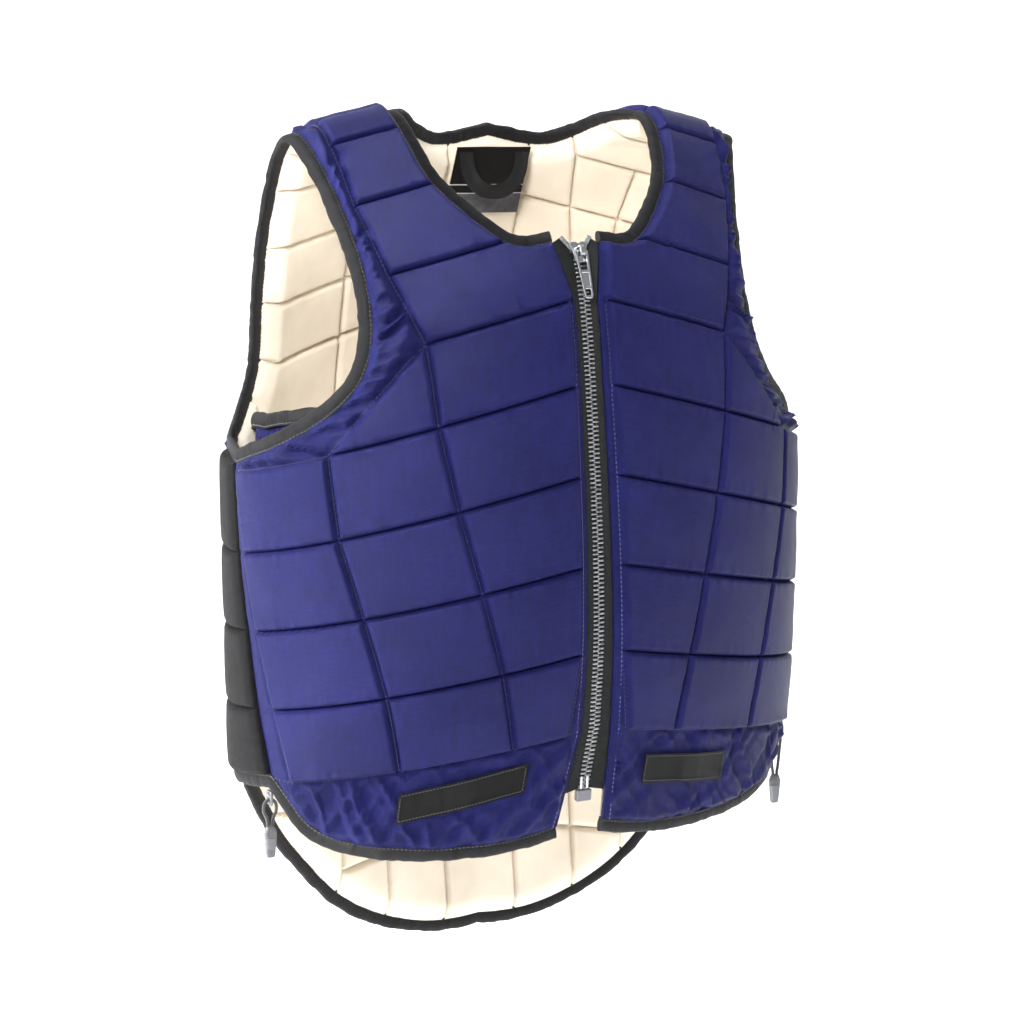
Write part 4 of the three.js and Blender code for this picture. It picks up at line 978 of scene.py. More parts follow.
def padded_face(name, points, cloth, sign, material, slot, node):
    """One face of a padded panel, seen from the side that sign gives."""
    piece = mesh_object(name, points, turned(points, cloth, sign), material,
                        coordinates=cloth_coordinates(cloth))
    place(piece, "vest", slot, node)


def shell(name, cloth, node):
    lift = np.where(cloth.edge_gap == 0, 0.0, outer_lift(cloth))
    padded_face(name, cloth.base + cloth.normal * lift[:, None], cloth, 1, NAVY, "navy", node)


def lining(name, cloth, node, reaching=False):
    """The inner cloth; where reaching, its blocks go on under the gathers."""
    seam = SEAM_DEPTH + CLEARANCE + LINING_SEAM
    edge = EDGE_DEPTH + CLEARANCE + LINING_EDGE
    near = smooth_step(cloth.edge_gap, 0, 12 * MM)
    depth = edge + (seam - edge) * near
    kinds = cloth.point_kind
    full = block_profile(cloth.fold_gap, 4 * MM, LINING_RISE)
    full += 0.4 * MM * smooth_step(cloth.fold_gap, 0, 26 * MM)
    full += 0.3 * MM * wave(cloth.wide_run, 9 * MM, cloth.wide_id) * np.exp(-cloth.wide_gap / (7 * MM))
    slack = 0.8 * MM * arm_folds(cloth) * smooth_step(cloth.edge_gap, 0, 6 * MM)
    padded = (kinds == "block") | (kinds == "gather") & reaching
    rise = np.where(padded, full, slack * (cloth.fold_gap > 0))
    rise = np.where(cloth.fold_gap == 0, 0, rise)
    padded_face(name, cloth.base - cloth.normal * (depth + rise)[:, None], cloth, -1, CREAM, "lining", node)


PANEL_SPACING = 1.6 * MM
LINING_SPACING = 2.2 * MM
fronts = {word: front_net(side) for word, side in SIDES}
back = back_net()
bands = {word: side_net(side) for word, side in SIDES}
for word, _ in SIDES:
    shell(f"front_cloth_{word}", Cloth(fronts[word], PANEL_SPACING), f"front_panel_{word}")
    lining(f"front_inside_{word}", Cloth(fronts[word], LINING_SPACING), f"front_lining_{word}")
shell("back_cloth", Cloth(back, PANEL_SPACING), "back_panel")
lining("back_inside", Cloth(back, LINING_SPACING, back.lining_joins), "back_lining", reaching=True)

BAND_RISE = 4.6 * MM
BAND_EDGE = 1 * MM  # how far a side band's rim lies under the outer cloth
BAND_DEPTH = 12 * MM


def side_band(word):
    """The padded black band: an outer face, an inner face and the walls between them."""
    cloth = Cloth(bands[word], PANEL_SPACING)
    wide = block_profile(cloth.wide_gap, 5 * MM, BAND_RISE)
    tall = block_profile(cloth.tall_gap, 8 * MM, BAND_RISE)
    crown = 0.6 * MM * smooth_step(cloth.fold_gap, 0, 20 * MM)
    ripple = 0.25 * MM * wave(cloth.wide_run, 6 * MM, cloth.wide_id) * np.exp(-cloth.wide_gap / (6 * MM))
    lift = np.minimum(wide, tall) + crown + ripple - BAND_EDGE * (cloth.edge_gap == 0)
    outer = cloth.base + cloth.normal * lift[:, None]
    inner = cloth.base - cloth.normal * BAND_DEPTH
    faces = turned(outer, cloth, 1)
    runs = {(int(f[k]), int(f[(k + 1) % 3])) for f in faces for k in range(3)}
    count = len(outer)
    walls = [(b, a, count + a, count + b) for a, b in runs if (b, a) not in runs]
    everything = [tuple(f) for f in faces] + [tuple(count + i for i in f[::-1]) for f in faces] + walls
    coordinates = np.concatenate([cloth_coordinates(cloth)] * 2)
    piece = mesh_object(f"side_pad_{word}", np.concatenate([outer, inner]), everything, BAND,
                        coordinates=coordinates)
    place(piece, "vest", "black", f"side_band_{word}")


for word, _ in SIDES:
    side_band(word)


# Strips and sweeps.
def grid_faces(rows, columns, closed_rows=False, closed_columns=False):
    faces = []
    for i in range(rows if closed_rows else rows - 1):
        for k in range(columns if closed_columns else columns - 1):
            j, m = (i + 1) % rows, (k + 1) % columns
            faces.append((i * columns + k, i * columns + m, j * columns + m, j * columns + k))
    return faces


def turned_out(piece):
    """Turns the faces of a closed piece outward."""
    mesh = piece.data
    volume = 0.0
    for polygon in mesh.polygons:
        corners = [mesh.vertices[i].co for i in polygon.vertices]
        for k in range(1, len(corners) - 1):
            volume += corners[0].dot(corners[k].cross(corners[k + 1]))
    if volume < 0:
        mesh.flip_normals()
    return piece


SECTION_GIRTH = 30 * MM  # cloth coordinate once round a section


def sweep(name, centres, away, out, section, material, closed=False):
    """A closed section of (away, out) pairs carried along frames, with end caps."""
    centres, away, out = (np.asarray(v) for v in (centres, away, out))
    section = np.asarray(section)
    if section.ndim == 2:
        section = np.broadcast_to(section, (len(centres),) + section.shape)
    rows, columns = section.shape[:2]
    points = centres[:, None] + away[:, None] * section[..., :1] + out[:, None] * section[..., 1:]
    faces = grid_faces(rows, columns, closed, True)
    if not closed:
        faces += [tuple(range(columns))[::-1], tuple((rows - 1) * columns + k for k in range(columns))]
    girth = np.linspace(0, 1, columns) * SECTION_GIRTH
    coordinates = np.stack(np.broadcast_arrays(line_run(centres)[:, None], girth[None], 0.0), axis=-1)
    return turned_out(mesh_object(name, points.reshape(-1, 3), faces, material,
                                  coordinates=coordinates.reshape(-1, 3)))


def slab(name, grid, out, thickness, material):
    """A sheet with two faces and a rim; grid is its outer face and out points away from it."""
    rows, columns = grid.shape[:2]
    out = np.broadcast_to(out, grid.shape)
    top, below = grid.reshape(-1, 3), (grid - out * thickness).reshape(-1, 3)
    count = rows * columns
    faces = grid_faces(rows, columns)
    rim = list(range(columns)) + [r * columns + columns - 1 for r in range(1, rows)]
    rim += [(rows - 1) * columns + k for k in range(columns - 2, -1, -1)]
    rim += [r * columns for r in range(rows - 2, 0, -1)]
    walls = [(b, a, count + a, count + b) for a, b in zip(rim, rim[1:] + rim[:1])]
    faces = faces + [tuple(count + i for i in f[::-1]) for f in faces] + walls
    along, over = line_run(grid[:, columns // 2]), line_run(grid[rows // 2])
    coordinates = np.stack(np.broadcast_arrays(along[:, None], over[None], 0.0), axis=-1).reshape(-1, 3)
    return turned_out(mesh_object(name, np.concatenate([top, below]), faces, material,
                                  coordinates=np.concatenate([coordinates] * 2)))


def counter_clockwise(loop):
    x, y = np.asarray(loop, float).T
    return np.sum(x * np.roll(y, -1) - np.roll(x, -1) * y) > 0


def inset(loop, amount):
    """A closed loop moved to the left of its run."""
    ahead = unit(np.roll(loop, -1, axis=0) - loop)
    turn = np.array([[0, 1], [-1, 0]])
    left, before = ahead @ turn, np.roll(ahead, 1, axis=0) @ turn
    middle = unit(left + before)
    return loop + middle * (amount / np.maximum(np.sum(middle * left, axis=1), 0.4))[:, None]


def rounded(loop, radius, steps=4):
    """A closed loop with its corners cut to curves."""
    loop, points = np.asarray(loop, float), []
    for before, corner, after in zip(np.roll(loop, 1, axis=0), loop, np.roll(loop, -1, axis=0)):
        a, b = before - corner, after - corner
        reach = min(radius, 0.45 * np.linalg.norm(a), 0.45 * np.linalg.norm(b))
        start, end = corner + unit(a) * reach, corner + unit(b) * reach
        for k in range(steps + 1):
            t = k / steps
            points.append(start * (1 - t) ** 2 + corner * 2 * t * (1 - t) + end * t * t)
    return np.array(points)


def circle(x, y, radius, steps=18):
    turn = 2 * math.pi * np.arange(steps) / steps
    return np.stack([x + radius * np.cos(turn), y + radius * np.sin(turn)], axis=1)


def plate(name, outline, holes, thickness, chamfer, origin, axes, material):
    """A flat plate with holes and eased rims: outlines in its own x and y, thickness along its z."""
    loops = [np.asarray(loop, float) for loop in [outline, *holes]]
    loops = [loop if counter_clockwise(loop) == (k == 0) else loop[::-1] for k, loop in enumerate(loops)]
    eased = [inset(loop, chamfer) for loop in loops]
    flat = np.concatenate(eased)
    starts = np.cumsum([0] + [len(loop) for loop in loops])
    rims = [[(s + k, s + (k + 1) % len(loop)) for k in range(len(loop))] for s, loop in zip(starts, loops)]
    found = delaunay_2d_cdt([Vector(p) for p in flat], [e for rim in rims for e in rim], [], 0, CUT_TOLERANCE)
    triangles = [[found[3][i][0] for i in f] for f in found[2]]
    middles = np.array([flat[t].mean(axis=0) for t in triangles])
    solid = inside(middles, eased[0])
    for hole in eased[1:]:
        solid &= ~inside(middles, hole)
    count = len(flat)
    full = np.concatenate(loops)
    layers = [(flat, 0), (full, chamfer), (full, thickness - chamfer), (flat, thickness)]
    axes = np.array(axes, float)
    points = np.concatenate([
        origin + layer @ axes[:2] + height * axes[2] for layer, height in layers
    ])
    faces = [tuple(t[::-1]) for t, keep in zip(triangles, solid) if keep]
    faces += [tuple(3 * count + i for i in t) for t, keep in zip(triangles, solid) if keep]
    for rim in rims:
        for level in range(3):
            low, high = level * count, (level + 1) * count
            faces += [(low + a, low + b, high + b, high + a) for a, b in rim]
    piece = mesh_object(name, points, faces, material, smooth=False)
    build = bmesh.new()
    build.from_mesh(piece.data)
    bmesh.ops.recalc_face_normals(build, faces=build.faces)
    build.to_mesh(piece.data)
    build.free()
    return piece


STITCH_PITCH = 3.1 * MM
STITCH_LENGTH = 2.2 * MM
STITCH_RADIUS = 0.34 * MM
STITCH_RINGS = [(-0.5, 0.3), (-0.28, 1), (0.28, 1), (0.5, 0.3)]


class Thread:
    """Many short raised stitches, gathered into one piece."""

    def __init__(self):
        self.rows = []

    def row(self, line, out, pitch=STITCH_PITCH, length=STITCH_LENGTH, radius=STITCH_RADIUS):
        """Stitches along a line of points, with the outward direction at each."""
        line, out = np.asarray(line), np.broadcast_to(out, np.shape(line))
        run = line_run(line)

        def at(values, places):
            return np.stack([np.interp(places, run, values[:, k]) for k in range(3)], axis=1)

        centres = np.arange(pitch / 2, run[-1] - pitch / 2, pitch)
        if not len(centres):
            return
        along = unit(at(line, centres + length / 2) - at(line, centres - length / 2))
        up = unit(at(out, centres))
        side = unit(np.cross(along, up))
        middle = at(line, centres)
        turns = np.radians([45, 135, 225, 315])
        rings = []
        for share, wide in STITCH_RINGS:
            base = middle + along * share * length - up * radius * (1 - wide)
            for turn in turns:
                rings.append(base + (side * math.cos(turn) * 1.2 + up * math.sin(turn)) * radius * wide)
        self.rows.append(np.stack(rings, axis=1))

    def piece(self, name, material, slot):
        points = np.concatenate(self.rows)
        pattern = grid_faces(len(STITCH_RINGS), 4, False, True) + [(3, 2, 1, 0), (12, 13, 14, 15)]
        faces = [tuple(i + 16 * k for i in f) for k in range(len(points)) for f in pattern]
        return place(mesh_object(name, points.reshape(-1, 3), faces, material), "vest", slot)


def smoothed(values, passes, closed):
    values = np.array(values, float)
    for _ in range(passes):
        if closed:
            values = (np.roll(values, 1, axis=0) + 2 * values + np.roll(values, -1, axis=0)) / 4
        else:
            values[1:-1] = (values[:-2] + 2 * values[1:-1] + values[2:]) / 4
    return values


EDGE_MIDDLE = (EDGE_DEPTH + CLEARANCE + LINING_EDGE) / 2
BINDING_WIDTH = 9 * MM
BINDING_SPACING = 1.3 * MM
BINDING_STITCH = (2.9 * MM, 2.0 * MM, 0.3 * MM)  # pitch, length and radius
LEAST_STEP = 0.8 * MM  # points on a binding's path nearer than this count as one
BINDING_SECTION = np.array([
    (-1.8, 2.0), (-1.4, 2.8), (-0.1, 2.4), (1.3, 2.9), (3.6, 2.9), (5.4, 2.6), (7.0, 2.0), (7.9, 1.1), (8.2, 0),
    (7.9, -1.1), (7.0, -2.0), (5.4, -2.6), (3.6, -2.9), (1.3, -2.9), (-0.1, -2.4), (-1.4, -2.8), (-1.8, -2.0),
]) * MM


def edge_frames(places, depth, closed):
    """Middle of the cut edge, the direction away from the panel, and the outward normal."""
    angle, level = places.T
    centres = body_offset(angle, level, -depth)
    normal = body_normal(angle, level)
    flat = body_point(angle, level)
    if closed:
        along = np.roll(flat, -1, axis=0) - np.roll(flat, 1, axis=0)
    else:
        along = np.gradient(flat, axis=0)
    away = unit(smoothed(unit(np.cross(unit(along), normal)), 5, closed))
    return smoothed(centres, 1, closed), away, unit(smoothed(normal, 3, closed))


def without_repeats(places, closed):
    points = body_point(*places.T)
    keep = [0]
    for i in range(1, len(points)):
        if np.linalg.norm(points[i] - points[keep[-1]]) > LEAST_STEP:
            keep.append(i)
    if closed and np.linalg.norm(points[keep[-1]] - points[0]) < LEAST_STEP:
        keep.pop()
    return places[keep]


binding_thread = Thread()


def bind(name, centres, away, out, node, closed=False):
    """A folded tape over an edge, puckered along its two rows of stitches."""
    run = line_run(centres)
    seed = len(bpy.data.objects)
    pinch = 1 + 0.1 * wave(run, 8 * MM, seed) + 0.1 * wave(run, 2.9 * MM, seed + 1)
    width = 1 + 0.05 * wave(run, 11 * MM, seed + 2) + 0.03 * wave(run, 3.7 * MM, seed + 5)
    section = BINDING_SECTION[None] * np.stack([width, pinch], axis=-1)[:, None]
    skew = 0.3 * MM * wave(run, 6 * MM, seed + 3)
    section = section + np.stack([skew, skew * 0.3], axis=-1)[:, None]
    place(sweep(name, centres, away, out, section, BLACK, closed), "vest", "black", node)
    for face in (2, 14):
        line = centres + away * section[:, face, :1] + out * section[:, face, 1:]
        binding_thread.row(line + out * math.copysign(0.05 * MM, section[0, face, 1]),
                           out * math.copysign(1, section[0, face, 1]), *BINDING_STITCH)


def binding(name, places, node, closed=False):
    places = without_repeats(places, closed)
    bind(name, *edge_frames(places, EDGE_MIDDLE, closed), node, closed)


def neck_line():
    right = fronts["right"].line(NECK_IDS, BINDING_SPACING)
    middle = back.line(over_back(BACK_NECK_IDS[::-1]), BINDING_SPACING)
    left = fronts["left"].line(NECK_IDS, BINDING_SPACING)[::-1]
    return np.concatenate([right, middle, left])


def arm_line(word, side):
    half = "r_" if side < 0 else "l_"
    front = fronts[word].line(ARM_FRONT_IDS, BINDING_SPACING)
    behind = back.line([half + n for n in ARM_BACK_IDS], BINDING_SPACING)[::-1]
    path = np.concatenate([front, behind])
    return path[::-1] if side < 0 else path


def hem_line():
    right = fronts["right"].line(HEM_IDS, BINDING_SPACING)
    tail = back.line(over_back(TAIL_IDS), BINDING_SPACING)
    left = fronts["left"].line(HEM_IDS, BINDING_SPACING)[::-1]
    bottoms = [bands[word].line(["f1", "b1"], BINDING_SPACING) for word in ("right", "left")]
    return np.concatenate([right, bottoms[0], tail, bottoms[1][::-1], left])[::-1]


binding("neck_edge", neck_line(), "neck_binding")
for word, side in SIDES:
    binding(f"armhole_edge_{word}", arm_line(word, side), f"armhole_binding_{word}", True)
binding("hem_edge", hem_line(), "hem_binding")


# Thread along the upright seams and round the padded rows.
def panel_thread(net):
    uses = {}
    for names, kind in net.cells:
        for pair in sides_of(names):
            uses.setdefault(edge_key(*pair), []).append(kind)
    joins = {edge_key(*pair) for pair in net.joins}
    for edge, kinds in uses.items():
        if len(kinds) < 2 or edge in joins or not (upright(net, edge) or len(set(kinds)) > 1):
            continue
        angle, level = net.edge(*edge, 1.6 * MM).T
        panel_stitches.row(body_offset(angle, level, SEAM_FLOOR + 0.15 * MM), body_normal(angle, level))


panel_stitches = Thread()
for net in (fronts["right"], fronts["left"], back):
    panel_thread(net)
    net.edges.clear()
panel_stitches.piece("panel_stitching", NAVY_THREAD, "navy")


# Zip.
ZIP_END_RISE = 21.5 * MM
SLIDER_DROP = 11.8 * MM
CHAIN_WIDTH = 5.6 * MM
CHAIN_THICKNESS = 3 * MM
ZIP_RECESS = 3.4 * MM
TAPE_THICKNESS = 1.2 * MM
SLIDER_LENGTH = 14
SLIDER_WIDTH = 13
PULL_LENGTH = 33
PULL_WIDTH = 10
PULL_BAR = 1.8
PULL_TAPER = 0.62
STOP_WIDTH = 11
STOP_LENGTH = 8
SPREAD_WIDTH = 10 * MM
NECK_LEVEL = NECK_CORNER[1]


def level_height(level):
    return np.linalg.norm(body_point(0, level) - body_point(0, level + 1))


ZIP_TOP = NECK_LEVEL + CLEARANCE / level_height(NECK_LEVEL - 1)
ZIP_END = ZIP_END_RISE / level_height(0)
SLIDER_LEVEL = NECK_LEVEL - SLIDER_DROP / level_height(NECK_LEVEL - 1)
SPREAD_LEVEL = SLIDER_LEVEL + 0.06
CHAIN_LIFT = -ZIP_RECESS - CHAIN_THICKNESS / 2


def zip_point(level, across, lift):
    level = np.asarray(level, float)
    across = np.asarray(across, float)[..., None]
    return body_offset(np.zeros_like(level), level, lift) + ACROSS * across


def zip_inside(level):
    """How far the inner edge of a tape lies from the middle of the zip."""
    share = np.clip((level - SPREAD_LEVEL) / (NECK_LEVEL - SPREAD_LEVEL), 0, 1)
    return CHAIN_WIDTH / 2 + CLEARANCE + share * (SPREAD_WIDTH - CHAIN_WIDTH / 2 - CLEARANCE)


def zip_edge(word, levels):
    """Angle of the panel's edge along the zip at each level."""
    names = ["hem_zip", "zip1", "zip2", "zip3", "zip4", "zip5", "neck6", "neck_corner"]
    line = fronts[word].line(names, 2 * MM)
    return np.interp(levels, line[:, 1], line[:, 0])


TAPE_COLUMNS = 7
TAPE_CLOTH = 0.9 * MM
ZIP_STITCH_LIFT = 2.4 * MM
ZIP_STITCH_TURN = 1.1  # degrees from the panel's edge to its row of stitches
FOLD_SECTION = (1.3 * MM, 1.5 * MM)  # half width and height of the cloth turned under along the zip
FOLD_SINK = 1.1 * MM
FOLD_INSET = 0.7 * MM
zip_stitches = Thread()
for word, side in SIDES:
    levels = np.linspace(ZIP_END, NECK_LEVEL, 180)
    angles = zip_edge(word, levels)
    run = line_run(zip_point(levels, 0 * levels, 0))
    inner = zip_point(levels, side * zip_inside(levels), -ZIP_RECESS + 0.2 * MM * wave(run, 12 * MM, 31))
    outer = body_offset(angles, levels, -ZIP_RECESS / 2 - TAPE_THICKNESS / 2)
    normal = body_normal(0 * levels, levels)
    share = np.linspace(0, 1, TAPE_COLUMNS)[None, :, None]
    grid = inner[:, None] * (1 - share) + (outer[:, None] - ACROSS * side * CLEARANCE) * share
    piece = slab(f"zip_cloth_{word}", grid, normal[:, None], TAPE_CLOTH, TAPE)
    place(piece, "vest", "tape", f"zip_tape_{word}")
    # The cloth turned under along the zip, with its stitches.
    levels = np.linspace(0.02, NECK_LEVEL - 0.02, 200)
    angles = zip_edge(word, levels)
    normal = body_normal(angles, levels)
    turn = np.radians(np.arange(0, 360, 36))
    fold = np.stack([FOLD_SECTION[0] * np.cos(turn), FOLD_SECTION[1] * np.sin(turn)], axis=1)
    away = np.broadcast_to(-ACROSS * side, normal.shape)
    centres = body_offset(angles, levels, -FOLD_SINK + 0.25 * MM * wave(levels, 0.12, side + 5))
    piece = sweep(f"zip_fold_{word}", centres + ACROSS * side * FOLD_INSET, away, normal, fold, NAVY)
    place(piece, "vest", "navy")
    zip_stitches.row(body_offset(angles + side * ZIP_STITCH_TURN, levels, ZIP_STITCH_LIFT), normal)
zip_stitches.piece("zip_stitching", PALE_NAVY, "navy")


def blocks(name, middles, along, across, out, size, material):
    """Small moulded blocks with eased tops, in one piece."""
    length, width, height = size
    corners = [(-1, -1), (1, -1), (1, 1), (-1, 1)]
    layers = [(1, -0.5), (1, 0.15), (0.62, 0.5)]
    points = np.stack([
        middles + along * (a * length / 2 * s) + across * (b * width / 2 * s) + out * height * h
        for s, h in layers for a, b in corners
    ], axis=1)
    pattern = grid_faces(3, 4, False, True) + [(3, 2, 1, 0), (8, 9, 10, 11)]
    faces = [tuple(i + 12 * k for i in f) for k in range(len(middles)) for f in pattern]
    return mesh_object(name, points.reshape(-1, 3), faces, material, smooth=False)


TOOTH_PITCH = 1.45 * MM
TOOTH_SIZE = (1.15 * MM, 4.1 * MM, 2.0 * MM)
TOOTH_SHIFT = 1.75 * MM  # from the middle of the chain to a tooth's own middle
TOOTH_SINK = 3.0 * MM
OPEN_TOOTH_SIZE = (1.1 * MM, 2.8 * MM, 1.5 * MM)
OPEN_TOOTH_SHIFT = 0.9 * MM
OPEN_TOOTH_SINK = 2.2 * MM
CORE_SINK = 3.7 * MM
levels = np.linspace(ZIP_END, SLIDER_LEVEL - 0.05, 400)
line = zip_point(levels, 0 * levels, 0)
run = line_run(line)
tooth_levels = np.interp(np.arange(0, run[-1], TOOTH_PITCH), run, levels)
sides = np.where(np.arange(len(tooth_levels)) % 2 == 0, 1.0, -1.0)
out = body_normal(0 * tooth_levels, tooth_levels)
along = unit(np.cross(out, ACROSS))
middles = zip_point(tooth_levels, sides * TOOTH_SHIFT, -TOOTH_SINK)
chain = blocks("zip_chain_teeth", middles, along, np.broadcast_to(ACROSS, out.shape), out, TOOTH_SIZE, COIL)
place(chain, "vest", "teeth", "zip_chain")
levels = np.linspace(ZIP_END, SLIDER_LEVEL, 120)
share = np.linspace(-1, 1, 5)[None, :]
grid = zip_point(levels[:, None] + 0 * share, share * CHAIN_WIDTH / 2 + 0 * levels[:, None], -CORE_SINK)
place(slab("zip_core", grid, body_normal(0 * levels, levels)[:, None], 1.0 * MM, TAPE), "vest", "tape")
for word, side in SIDES:
    levels = np.linspace(SLIDER_LEVEL + 0.02, ZIP_TOP - 0.02, 13)
    middles = zip_point(levels, side * (zip_inside(levels) + OPEN_TOOTH_SHIFT), -OPEN_TOOTH_SINK)
    along = unit(np.gradient(middles, axis=0))
    out = body_normal(0 * levels, levels)
    across = unit(np.cross(along, out))
    teeth = blocks(f"zip_open_teeth_{word}", middles, along, across, out, OPEN_TOOTH_SIZE, COIL)
    place(teeth, "vest", "teeth", f"zip_teeth_{word}")

slider_out = body_normal(0.0, SLIDER_LEVEL)
slider_up = np.cross(slider_out, ACROSS)
slider_at = zip_point(SLIDER_LEVEL, 0.0, CHAIN_LIFT + CHAIN_THICKNESS + CLEARANCE)
PLATE_THICKNESS = 1.8 * MM
SLIDER_SHARES = [(-0.3, -0.5), (0.3, -0.5), (0.38, 0.05), (0.5, 0.3), (0.42, 0.5), (0.1, 0.5),
                 (0, 0.38), (-0.1, 0.5), (-0.42, 0.5), (-0.5, 0.3), (-0.38, 0.05)]
outline = rounded([(x * SLIDER_WIDTH * MM, y * SLIDER_LENGTH * MM) for x, y in SLIDER_SHARES], 1.2 * MM)
slider_axes = [ACROSS, slider_up, slider_out]
piece = plate("slider_body", outline, [], PLATE_THICKNESS, 0.45 * MM, slider_at, slider_axes, METAL)
place(piece, "vest", "metal", "zip_slider")
BRIDGE = rounded([(-3.6, 0), (-2.1, 0), (-2.1, 3.1), (2.1, 3.1), (2.1, 0), (3.6, 0), (3.6, 3.7), (2.2, 4.6),
                  (-2.2, 4.6), (-3.6, 3.7)], 0.6) * MM
bridge_at = slider_at + slider_out * (PLATE_THICKNESS + 0.1 * MM) - ACROSS * 1.7 * MM
bridge_axes = [slider_up, slider_out, ACROSS]
piece = plate("slider_bridge", BRIDGE, [], 3.4 * MM, 0.4 * MM, bridge_at, bridge_axes, METAL)
place(piece, "vest", "metal", "zip_bridge")


def pull_ring(start, end, margin):
    """Corners of the pull's tapering outline between two shares of its length."""
    width = [PULL_WIDTH / 2 * (1 + (PULL_TAPER - 1) * share) - margin for share in (start, end)]
    height = [PULL_BAR / 2 - PULL_LENGTH * share for share in (start, end)]
    return [(-width[0], height[0]), (-width[1], height[1]), (width[1], height[1]), (width[0], height[0])]


def millimetres(loop):
    return np.asarray(loop) * MM


pull_outline = millimetres(rounded(pull_ring(0, 1, 0), 2.2, 6))
upper_window = millimetres(rounded(pull_ring(PULL_BAR / PULL_LENGTH, 0.42, PULL_BAR), 0.7))
tray = millimetres(rounded(pull_ring(0.48, 0.76, 1.5), 0.5))
lower_window = millimetres(rounded(pull_ring(0.81, 0.94, PULL_BAR * 0.8), 0.5))
pull_at = slider_at + slider_out * (PLATE_THICKNESS + 0.7 * MM)
piece = plate("pull", pull_outline, [upper_window, tray, lower_window], 1.6 * MM, 0.35 * MM, pull_at,
              slider_axes, METAL)
place(piece, "pull_tab", "metal", "zip_pull")
floor = millimetres(pull_ring(0.47, 0.77, 1.3))
piece = plate("pull_tray", floor, [], 1.0 * MM, 0.1 * MM, pull_at + slider_out * 0.2 * MM, slider_axes, METAL)
place(piece, "pull_tab", "metal")

stop_out = body_normal(0.0, ZIP_END)
stop_up = np.cross(stop_out, ACROSS)
stop_at = zip_point(ZIP_END, 0.0, CHAIN_LIFT) - stop_up * 2 * CLEARANCE
width, height = STOP_WIDTH / 2 * MM, STOP_LENGTH * MM
outline = rounded([(-width, -height), (width, -height), (width, 0), (-width, 0)], 1.2 * MM)
piece = plate("stop_box", outline, [], 4 * MM, 0.6 * MM, stop_at, [ACROSS, stop_up, stop_out], GREY)
place(piece, "vest", "metal", "zip_stop")
for word, side in SIDES:
    pin = rounded([(-0.9, 0), (0.9, 0), (0.9, 9), (-0.9, 9)], 0.8) * MM
    at = stop_at + ACROSS * side * 2.2 * MM + stop_up * 0.4 * MM + stop_out * 2.4 * MM
    piece = plate(f"stop_pin_{word}", pin, [], 1.1 * MM, 0.3 * MM, at, [ACROSS, stop_up, stop_out], METAL)
    place(piece, "vest", "metal")


# Bare labels on the hem cloth.
HEM_LABEL_HEIGHT = 20 * MM
LABEL_LIFT = 5.2 * MM
LABEL_CLOTH = 0.6 * MM
LABEL_STITCH = (2.3 * MM, 1.6 * MM, 0.24 * MM)  # pitch, length and radius
label_stitches = Thread()
for word, length, middle, level, tilt in HEM_LABELS:
    degree = np.linalg.norm(body_point(middle + 0.5, level) - body_point(middle - 0.5, level))
    share = np.linspace(0, 1, 60)
    angle, at = middle + length / degree * (share - 0.5), level + tilt * (share - 0.5)
    centre, normal = body_offset(angle, at, LABEL_LIFT), body_normal(angle, at)
    up = unit(body_point(angle, at + 0.05) - body_point(angle, at))
    over = np.linspace(-0.5, 0.5, 14)
    ripple = wave(share[:, None] * length + over[None] * 6 * MM, 17 * MM, 3) * 0.5 * MM
    ripple = ripple + 0.25 * MM * wave(share[:, None] * length * np.ones_like(over), 6 * MM, 9)
    grid = centre[:, None] + up[:, None] * (over * HEM_LABEL_HEIGHT)[None, :, None]
    grid = grid + normal[:, None] * ripple[..., None]
    label = slab(f"bare_label_{word}", grid, normal[:, None], LABEL_CLOTH, LABEL)
    place(label, "vest", "label", f"hem_label_{word}")
    raised = grid + normal[:, None] * 0.08 * MM
    for line, out in ((raised[1:-1, 1], normal[1:-1]), (raised[1:-1, -2], normal[1:-1]),
                      (raised[1, 1:-1], normal[1][None]), (raised[-2, 1:-1], normal[-2][None])):
        label_stitches.row(line, out, *LABEL_STITCH)
label_stitches.piece("label_stitching", BLACK_THREAD, "label")

# Neck label in its zones, and the hanging loop.
INNER_FACE = SEAM_DEPTH + CLEARANCE + LINING_SEAM + LINING_RISE
NECK_LABEL_TOP = 8.1
NECK_LABEL_RISE = 8 * MM
NECK_LABEL_STAND = 2.3 * MM
NECK_LABEL_WIDTH = 56 * MM
NECK_LABEL_HEIGHT = NECK_LABEL_RISE + 42 * MM
neck_slope = unit(body_point(180.0, NECK_LABEL_TOP - 1) - body_point(180.0, NECK_LABEL_TOP))
neck_normal = body_normal(180.0, NECK_LABEL_TOP)


def neck_inside(across, drop, lift):
    at = body_offset(180.0, NECK_LABEL_TOP, -INNER_FACE - NECK_LABEL_STAND)
    across, drop, lift = (np.asarray(v, float)[..., None] for v in (across, drop, lift))
    return at - neck_normal * lift + ACROSS * across + neck_slope * drop


